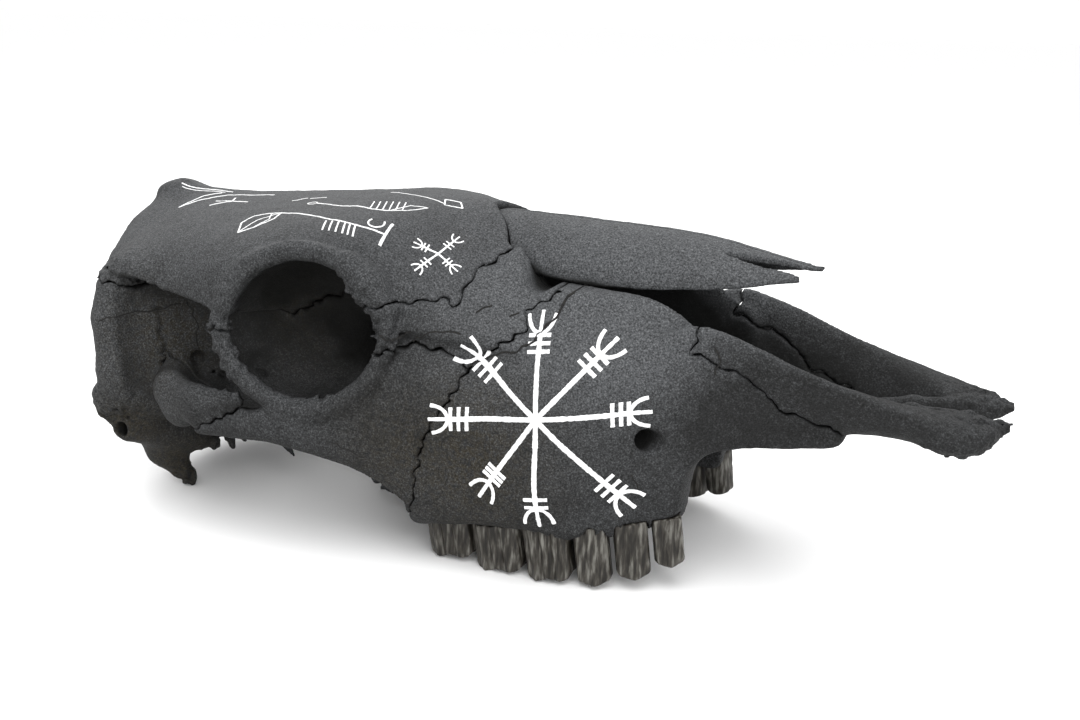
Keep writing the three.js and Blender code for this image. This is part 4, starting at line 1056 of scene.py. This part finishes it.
def opennessGrid():
    # how much of the surroundings each place of the coarse grid sees, from 0 deep inside to 1 in the open; it
    # sets the painted shade
    step = grid["step"] * grid["brick"]
    shape = skullCoarse.shape
    x, y, z = np.meshgrid(*[np.float32(l) + step * np.arange(n) for l, n in zip(grid["low"], shape)],
                          indexing="ij")
    solid = np.minimum(skullCoarse, nasalField(x, np.abs(y), z)) < rays["solidBelow"]
    reach, count = rays["reach"], rays["count"]
    padded = np.pad(solid, reach)
    seen = np.zeros(shape, np.float32)
    for i in range(count):
        up = 1 - 2 * (i + 0.5) / count
        turn = rays["angle"] * i
        flat = math.sqrt(1 - up * up)
        clear = np.ones(shape, bool)
        for k in range(1, reach + 1):
            at = [reach + round(k * v) for v in (flat * math.cos(turn), flat * math.sin(turn), up)]
            clear &= ~padded[at[0] : at[0] + shape[0], at[1] : at[1] + shape[1], at[2] : at[2] + shape[2]]
        seen += clear
    return seen / count


def readGrid(values, points):
    # values of the coarse grid at points between its places
    spot = (points - np.array(grid["low"])) / (grid["step"] * grid["brick"])
    spot = np.clip(spot, 0, np.array(values.shape) - 1.001)  # a little inside the last place
    cell = spot.astype(int)
    part = spot - cell
    total = np.zeros(len(points))
    for corner in cellCorners:
        share = np.ones(len(points))
        for axis, step in enumerate(corner):
            share *= part[:, axis] if step else 1 - part[:, axis]
        total += share * values[cell[:, 0] + corner[0], cell[:, 1] + corner[1], cell[:, 2] + corner[2]]
    return total


# Regions where the black paint is made paler as painted light or darker as painted shade, [x, y, z, radius,
# amount], and regions with brown stains
paintedLightZones = [[70, 62, 128, 34, 0.42], [100, 52, 112, 30, 0.6], [128, 46, 96, 22, 0.3],
             [110, 20, 140, 60, 0.3], [165, 12, 128, 30, 0.3], [-50, 20, 175, 70, -0.08],
             [60, 70, 45, 34, -0.2], [0, 80, 80, 34, -0.25], [110, 48, 36, 30, -0.12],
             [-120, 52, 110, 40, 0.2], [150, 38, 62, 30, -0.35], [200, 32, 65, 45, -0.4],
             [250, 20, 55, 40, -0.4], [-150, 80, 60, 26, -0.3], [-148, 55, 45, 24, -0.45],
             [-80, 85, 75, 30, -0.25], [-130, 45, 45, 40, -0.3]]
stains = [[42, 74, 55, 34], [10, 70, 60, 26], [-130, 60, 110, 34], [-146, 56, 42, 22], [-60, 40, 120, 30],
          [-150, 80, 70, 20]]

# Walls inside hollows that take less of the painted shade, [x, y, z, radius]
litZones = [[-132, 66, 118, 26], [-124, 60, 92, 22], [-66, 36, 128, 14], [-58, 30, 92, 12]]
rustPatch = [34, -44, 157, 6.5]

# How the painted light and shade of the paint are made: its level, how much paler surfaces facing up are
# made, the share of open sight below which painted shade darkens it, how much of that the lit walls lose, and
# how far off the surface the sight is taken
paintedLightLook = {"level": 0.32, "sky": 0.3, "leastUp": -0.6, "hollowShadeBelow": 0.4, "shadeLift": 0.7, "sightFrom": 6}


def givePaintedLightAndStains(piece, points, sight, upward):
    x, y, z = points[:, 0], points[:, 1], points[:, 2]
    place = (x, np.abs(y), z)
    # painted light: paler where the surface faces up; the zones add painted light above and painted shade low
    # down
    tone = paintedLightLook["level"] + paintedLightLook["sky"] * np.clip(upward, paintedLightLook["leastUp"], 1)
    for zone in paintedLightZones:
        tone += zone[4] * nearness(place, zone)
    warm = np.zeros(len(x))
    for zone in stains:
        warm = np.maximum(warm, nearness(place, zone))
    # painted shade: the less of its surroundings a place sees, the darker its paint
    hollow = np.clip(1 - sight / paintedLightLook["hollowShadeBelow"], 0, 1)
    for zone in litZones:
        hollow *= 1 - paintedLightLook["shadeLift"] * nearness(place, zone)
    giveValues(piece, "tone", np.clip(tone, 0, 1))
    giveValues(piece, "warm", warm)
    giveValues(piece, "hollow", hollow)
    giveValues(piece, "rust", nearness((x, y, z), rustPatch))


def readVectors(items, key):
    values = np.empty(3 * len(items), np.float32)
    items.foreach_get(key, values)
    return values.reshape(-1, 3)


def restOnFloor(piece):
    # nothing reaches below the floor: the lowest points are worn flat
    vertices = readVectors(piece.data.vertices, "co")
    vertices[:, 2] = np.maximum(vertices[:, 2], cadBox[0][2])
    piece.data.vertices.foreach_set("co", vertices.ravel())
    piece.data.update()


def weatherAll(tree):
    # all bones share one noise, so that it runs on over their joints, and each tooth has its own
    for number, (name, piece) in enumerate(pieces.items()):
        if "molar" in name:
            amounts = {key: value * weatherLook["toothShare"] for key, value in weather.items()}
            settle(piece, tree, Seed=float(number), Material=toothEnamel, **amounts)
        else:
            settle(piece, tree, Seed=0.0, Material=bonePaint, **weather)
        restOnFloor(piece)


# Strokes of paint and fine cracks, drawn flat and laid on the surface
strokeLook = {"noiseScale": 650.0, "sides": 10, "rayLength": 0.3}


def strokeTree():
    tree, given, out = newTree("strokes", ("Surface", "Object"), ("Step", "Float"), ("Waver", "Float"),
                               ("Lift", "Float"), ("Seed", "Float"), ("Material", "Material"))
    lines = addNode(tree, "GeometryNodeMeshToCurve", Mesh=given["Geometry"]).outputs[0]
    lines = addNode(tree, "GeometryNodeResampleCurve", mode="LENGTH", Curve=lines,
                    Length=given["Step"]).outputs[0]
    place = addNode(tree, "GeometryNodeInputPosition").outputs[0]
    waves = noise(tree, noise_dimensions="4D", Vector=place, W=given["Seed"], Scale=strokeLook["noiseScale"])
    swing = calc(tree, "ADD", swingOf(tree, waves, given["Waver"]), 1.0)
    radius = calc(tree, "MULTIPLY", named(tree, "halfWidth"), swing)
    lines = addNode(tree, "GeometryNodeSetCurveRadius", Curve=lines, Radius=radius).outputs[0]
    lines = addNode(tree, "GeometryNodeSetCurveNormal", mode="Z_UP", Curve=lines).outputs[0]
    profile = addNode(tree, "GeometryNodeCurvePrimitiveCircle", Resolution=strokeLook["sides"],
                      Radius=1.0).outputs[0]
    sweep = addNode(tree, "GeometryNodeCurveToMesh", Curve=lines, Profile_Curve=profile, Fill_Caps=True)
    tree.links.new(addNode(tree, "GeometryNodeInputRadius").outputs[0], sweep.inputs["Scale"])
    split = addNode(tree, "ShaderNodeSeparateXYZ", Vector=place).outputs
    above = addNode(tree, "ShaderNodeCombineXYZ", X=split[0], Y=split[1], Z=0.0).outputs[0]
    info = addNode(tree, "GeometryNodeObjectInfo", transform_space="RELATIVE", Object=given["Surface"])
    surface = info.outputs["Geometry"]
    hit = addNode(tree, "GeometryNodeRaycast", Target_Geometry=surface, Source_Position=above,
                  Ray_Direction=(0, 0, -1), Ray_Length=strokeLook["rayLength"]).outputs
    raised = calc(tree, "MULTIPLY", calc(tree, "MAXIMUM", split[2], 0.0), given["Lift"])
    height = calc(tree, "ADD", raised, calc(tree, "MINIMUM", split[2], 0.0))
    outward = addNode(tree, "ShaderNodeVectorMath", operation="SCALE", in0=hit["Hit Normal"],
                      Scale=height).outputs[0]
    laid = addNode(tree, "ShaderNodeVectorMath", operation="ADD", in0=hit["Hit Position"],
                   in1=outward).outputs[0]
    nearest = addNode(tree, "GeometryNodeProximity", Sample_Position=place, in0=surface).outputs["Position"]
    landed = addNode(tree, "GeometryNodeSwitch", input_type="VECTOR", in0=hit["Is Hit"], in1=nearest,
                     in2=laid).outputs[0]
    moved = addNode(tree, "GeometryNodeSetPosition", Geometry=sweep.outputs[0], Position=landed).outputs[0]
    return endTree(tree, moved, given, out)


def arc(centre, radius, start, end, steps):
    # points of an arc, its angles in degrees
    angles = [math.radians(start + (end - start) * i / steps) for i in range(steps + 1)]
    return [(centre[0] + radius * math.cos(a), centre[1] + radius * math.sin(a)) for a in angles]


# The parts of an arm: how wide its tip, bars and prongs are beside its line, how far the prongs spread, the
# share of half a turn that each takes, as a divisor, and the steps in it
arm = {"tip": 0.8, "bar": 0.75, "spread": 0.72, "turn": 2.2, "steps": 6}


def staveArm(stave, angle, length, shares):
    # one arm: its line, the bars across it and the fork of three prongs at its end
    a = math.radians(angle)
    along, across = (math.cos(a), math.sin(a)), (-math.sin(a), math.cos(a))
    centre, width, fork, half = stave["centre"], stave["width"], stave["fork"], stave["barHalf"]

    def at(s, t):
        return (centre[0] + s * along[0] + t * across[0], centre[1] + s * along[1] + t * across[1])
    base = length - fork
    strokes = [([at(0, 0), at(base, 0)], width), ([at(base, 0), at(length, 0)], width * arm["tip"])]
    for share in shares:
        strokes.append(([at(share * length, -half), at(share * length, half)], width * arm["bar"]))
    turns = [i * math.pi / arm["turn"] / arm["steps"] for i in range(arm["steps"] + 1)]
    for side in (-1, 1):
        prong = [at(base + fork * (1 - math.cos(t)),
                    side * fork * arm["spread"] * math.sin(t)) for t in turns]
        strokes.append((prong, width * arm["bar"]))
    return strokes


# The large stave on the cheek: angle and length of each arm, in the side view, and how far out its bars stand
cheekStave = {
    "centre": (75, 73), "width": 1.15, "fork": 9.0, "barHalf": 5.2,
    "arms": [(90, 44.5, (0.63, 0.705, 0.78)), (43, 46, (0.64, 0.715, 0.79)),
             (-1.5, 47.5, (0.665, 0.735, 0.8)), (-50, 58, (0.7, 0.765, 0.83)), (-93, 49, (0.72, 0.8)),
             (-130, 45, (0.64, 0.69, 0.74)), (178, 49.5, (0.64, 0.715, 0.79)), (137, 48, (0.6, 0.68, 0.76))],
}
browStave = {
    "centre": (0, 0), "width": 0.5, "fork": 4.2, "barHalf": 2.4,
    "arms": [(175, 12.5, (0.45, 0.6)), (69, 15.5, (0.42, 0.56)), (-116, 15, (0.45, 0.6)),
             (-24, 12.5, (0.4, 0.54))],
}


def staveStrokes(stave):
    return [stroke for one in stave["arms"] for stroke in staveArm(stave, *one)]


# The forehead's drawing seen from above, (x, y): a leaf on a stem with a curl, twigs, and a line further up.
# Each stroke is its points and half its width.
thin, thick = 0.32, 0.45
foreheadLines = [
    ([(-71, -68), (-76, -58), (-74, -50), (-68, -46.5), (-60, -47)], thick),
    ([(-71, -68), (-63, -64), (-58, -56), (-60, -47)], thick),
    ([(-71, -68), (-68, -56), (-60, -47)], thin),
    ([(-66, -46.5), (-61, -56), (-64, -64)], thin),
    ([(-62, -47), (-52, -48), (-41, -51), (-25, -57), (-8, -59.5), (4, -59)], thick),
    ([(4, -51), (4.5, -65.5)], thick * 1.6),
    (arc((-3, -53.5), 3.8, 150, 395, 14), thick),
    ([(-154, -5.5), (-138, -4), (-123, -2.4)], thick),
    ([(-152, -8), (-140, -7), (-126, -5)], thin),
    ([(-126.7, -6.9), (-133, -14), (-138, -29.5)], thick),
    ([(-138, -29.5), (-128, -18), (-121, -9), (-94, -5)], thick),
    ([(-119, -22), (-108, -22.5), (-97, -24)], thick),
    ([(-118, -29), (-108, -23), (-111, -16)], thick),
    ([(-52, -28), (-30, -35), (-12.6, -40.5), (-4, -39.5)], thick),
    (arc((-54.5, -28), 2.4, 0, 340, 10), thin),
    ([(-4, -39.5), (3.3, -36.4), (10.4, -27.7), (2, -29), (-4, -39.5)], thin),
    ([(-64, -16), (-56, -13)], thin), ([(-71, -22), (-66, -15)], thin),
    ([(-22, -6), (-6, -10), (14, -18)], thin),
    ([(12, -12.5), (20, -12), (24, -18.5), (15, -19.5), (12, -12.5)], thin * 1.3),
]
stemTicks = {"starts": (-27, -23.5, -20, -16.5, -13.8, -11.1), "from": -58.5, "to": -67, "slant": 3}
lineTicks = {"count": 6, "first": (-14, -40.3), "apart": (3.1, 0.7), "reach": (-3.8, 11)}


def foreheadStrokes():
    ticks = [[(x, stemTicks["from"]), (x + stemTicks["slant"], stemTicks["to"])] for x in stemTicks["starts"]]
    strokes = foreheadLines + [(tick, thick) for tick in ticks]
    (x, y), (across, up), reach = lineTicks["first"], lineTicks["apart"], lineTicks["reach"]
    for i in range(lineTicks["count"]):
        base = (x + across * i, y + up * i)
        strokes.append(([base, (base[0] + reach[0], base[1] + reach[1])], thin))
    return strokes


# Where each drawing lies: a point off the surface and the directions of its two axes, in the skull's frame
planes = {
    "side": {"at": (0, -140, 0), "across": (1, 0, 0), "up": (0, 0, 1)},
    "above": {"at": (0, 0, 215), "across": (1, 0, 0), "up": (0, 1, 0)},
    "brow": {"at": (43, -65, 165.5), "across": (0.823, 0.313, -0.473), "up": (0, 0.829, 0.549)},
}


def planeMatrix(plane):
    tilt = Matrix.Rotation(-math.radians(lie["tilt"]), 4, "Y")
    across, up = Vector(plane["across"]).normalized(), Vector(plane["up"]).normalized()
    axes = Matrix((across, up, across.cross(up))).transposed().to_4x4()
    place = Matrix.Translation(Vector(lie["shift"]) * mm) @ tilt
    return place @ Matrix.Translation(Vector(plane["at"]) * mm) @ axes


def laidStrokes(name, drawings, tree, underlay, settings, material):
    # one piece from several drawings, each a plane's name and its strokes
    made = []
    for number, (planeName, strokes) in enumerate(drawings):
        points, edges, halves = [], [], []
        for line, halfWidth in strokes:
            edges += [(len(points) + i, len(points) + i + 1) for i in range(len(line) - 1)]
            points += [(x * mm, y * mm, 0) for x, y in line]
            halves += [halfWidth * mm] * len(line)
        mesh = bpy.data.meshes.new(name)
        mesh.from_pydata(points, edges, [])
        mesh.attributes.new("halfWidth", "FLOAT", "POINT").data.foreach_set("value", halves)
        piece = bpy.data.objects.new(name if number == 0 else "drawing", mesh)
        bpy.context.collection.objects.link(piece)
        piece.matrix_world = planeMatrix(planes[planeName])
        bpy.context.view_layer.update()
        settle(piece, tree, Surface=underlay, Step=settings["step"] * mm, Waver=settings["waver"],
               Lift=settings["lift"], Seed=number + 1.0, Material=material)
        piece.data.transform(piece.matrix_world)
        piece.matrix_world = Matrix.Identity(4)
        made.append(piece)
    with bpy.context.temp_override(active_object=made[0], selected_editable_objects=made):
        bpy.ops.object.join()
    made[0].data.shade_smooth()
    print(name, "triangles", 2 * len(made[0].data.polygons))
    return made[0]


paintLines = {"step": 0.7, "waver": 0.9, "lift": 0.5}
crackLines = {"step": 0.6, "waver": 1.2, "lift": 0.9, "shortest": 2.2, "swing": 1.1, "seed": 7}


def jagged(points, seed):
    # a line through points, broken into short uneven steps
    random = np.random.default_rng(seed)
    swing = crackLines["swing"]
    line = [points[0]]
    for a, b in zip(points[:-1], points[1:]):
        reach = math.hypot(b[0] - a[0], b[1] - a[1])
        count = max(1, int(reach / crackLines["shortest"]))
        for i in range(1, count + 1):
            side = random.uniform(-swing, swing) if i < count else 0
            t = i / count
            line.append((a[0] + t * (b[0] - a[0]) - side * (b[1] - a[1]) / reach,
                         a[1] + t * (b[1] - a[1]) + side * (b[0] - a[0]) / reach))
    return line


# Fine cracks in the side view, (x, z): the points that each runs through, and half its width
cracks = [
    ([(-143, 126), (-136, 127), (-128, 126), (-120, 127)], 0.3), ([(-118, 128), (-116, 118), (-117, 104)],
                                                                  0.25),
    ([(19, 109), (28, 113), (41, 111)], 0.4), ([(9, 115), (15, 112), (20, 114)], 0.45),
    ([(88, 124), (84, 120), (82, 115), (76, 109), (70, 104)], 0.6), ([(70, 104), (62, 101), (55, 100),
                                                                      (43, 96)], 0.5),
    ([(30, 61), (33, 66), (38, 66)], 0.3), ([(46, 119), (52, 121)], 0.4), ([(60, 116), (64, 117)], 0.35),
    ([(150, 98), (152, 92), (149, 86)], 0.4), ([(-20, 66), (-12, 62), (-6, 58)], 0.3), ([(112, 44),
                                                                                         (114, 37)], 0.35),
]


print("weathering")
openness = opennessGrid()
for piece in pieces.values():
    vertices = readVectors(piece.data.vertices, "co")
    normals = readVectors(piece.data.vertex_normals, "vector")
    sight = readGrid(openness, fromFrame(vertices + paintedLightLook["sightFrom"] * mm * normals))
    giveWear(piece, fromFrame(vertices))
    givePaintedLightAndStains(piece, fromFrame(vertices), sight, normals[:, 2])
weathering = weatherTree()
weatherAll(weathering)

print("strokes")
underlayPoints, underlayQuads = skin(skull, grid["low"], grid["step"])
underlay = pieceFromMesh("underlay", underlayPoints, underlayQuads)
giveWear(underlay, underlayPoints)
settle(underlay, weathering, Seed=0.0, Material=bonePaint, **weather)
strokes = strokeTree()
drawings = [("side", staveStrokes(cheekStave)), ("brow", staveStrokes(browStave)),
            ("above", foreheadStrokes())]
pieces["white_staves"] = laidStrokes("white_staves", drawings, strokes, underlay, paintLines, whitePaint)
drawings = [("side", [(jagged(points, crackLines["seed"] + i),
                       half) for i, (points, half) in enumerate(cracks)])]
pieces["fine_cracks"] = laidStrokes("fine_cracks", drawings, strokes, underlay, crackLines, crackBlack)
bpy.data.objects.remove(underlay)


# The stage: a large floor, three soft lights that point at the middle of the skull, and a white surrounding
floorReach = 40.0
aimAt = (0, 0, 0.08)
surrounding = {"colour": (1, 1, 1, 1), "strength": 1.05}
lights = {
    "above": {"at": (0.15, -0.45, 1.4), "size": 1.2, "power": 13},
    "side": {"at": (1.1, -1.2, 0.8), "size": 1.0, "power": 10},
    "back": {"at": (-0.9, 1.0, 1.1), "size": 1.2, "power": 12},
}


def addStage():
    mesh = bpy.data.meshes.new("floor")
    corners = [(x * floorReach, y * floorReach, 0) for x, y in ((-1, -1), (1, -1), (1, 1), (-1, 1))]
    mesh.from_pydata(corners, [], [(0, 1, 2, 3)])
    floor = bpy.data.objects.new("floor", mesh)
    floor.location.z = cadBox[0][2]
    mesh.materials.append(newMaterial("pale_floor", floorLook))
    bpy.context.collection.objects.link(floor)


def addLights():
    for name, one in lights.items():
        data = bpy.data.lights.new(name, "AREA")
        data.size, data.energy = one["size"], one["power"]
        light = bpy.data.objects.new(name, data)
        aim = Vector(aimAt) - Vector(one["at"])
        light.matrix_world = Matrix.Translation(one["at"]) @ aim.to_track_quat("-Z", "Y").to_matrix().to_4x4()
        bpy.context.collection.objects.link(light)
    world = bpy.data.worlds.new("studio")
    world.use_nodes = True
    background = world.node_tree.nodes["Background"].inputs
    background["Color"].default_value = surrounding["colour"]
    background["Strength"].default_value = surrounding["strength"]
    bpy.context.scene.world = world


addStage()
addLights()
bpy.context.scene.view_settings.view_transform = "Standard"

for pieceName, piece in pieces.items():
    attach(piece, "root")
    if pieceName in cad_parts:
        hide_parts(pieceName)
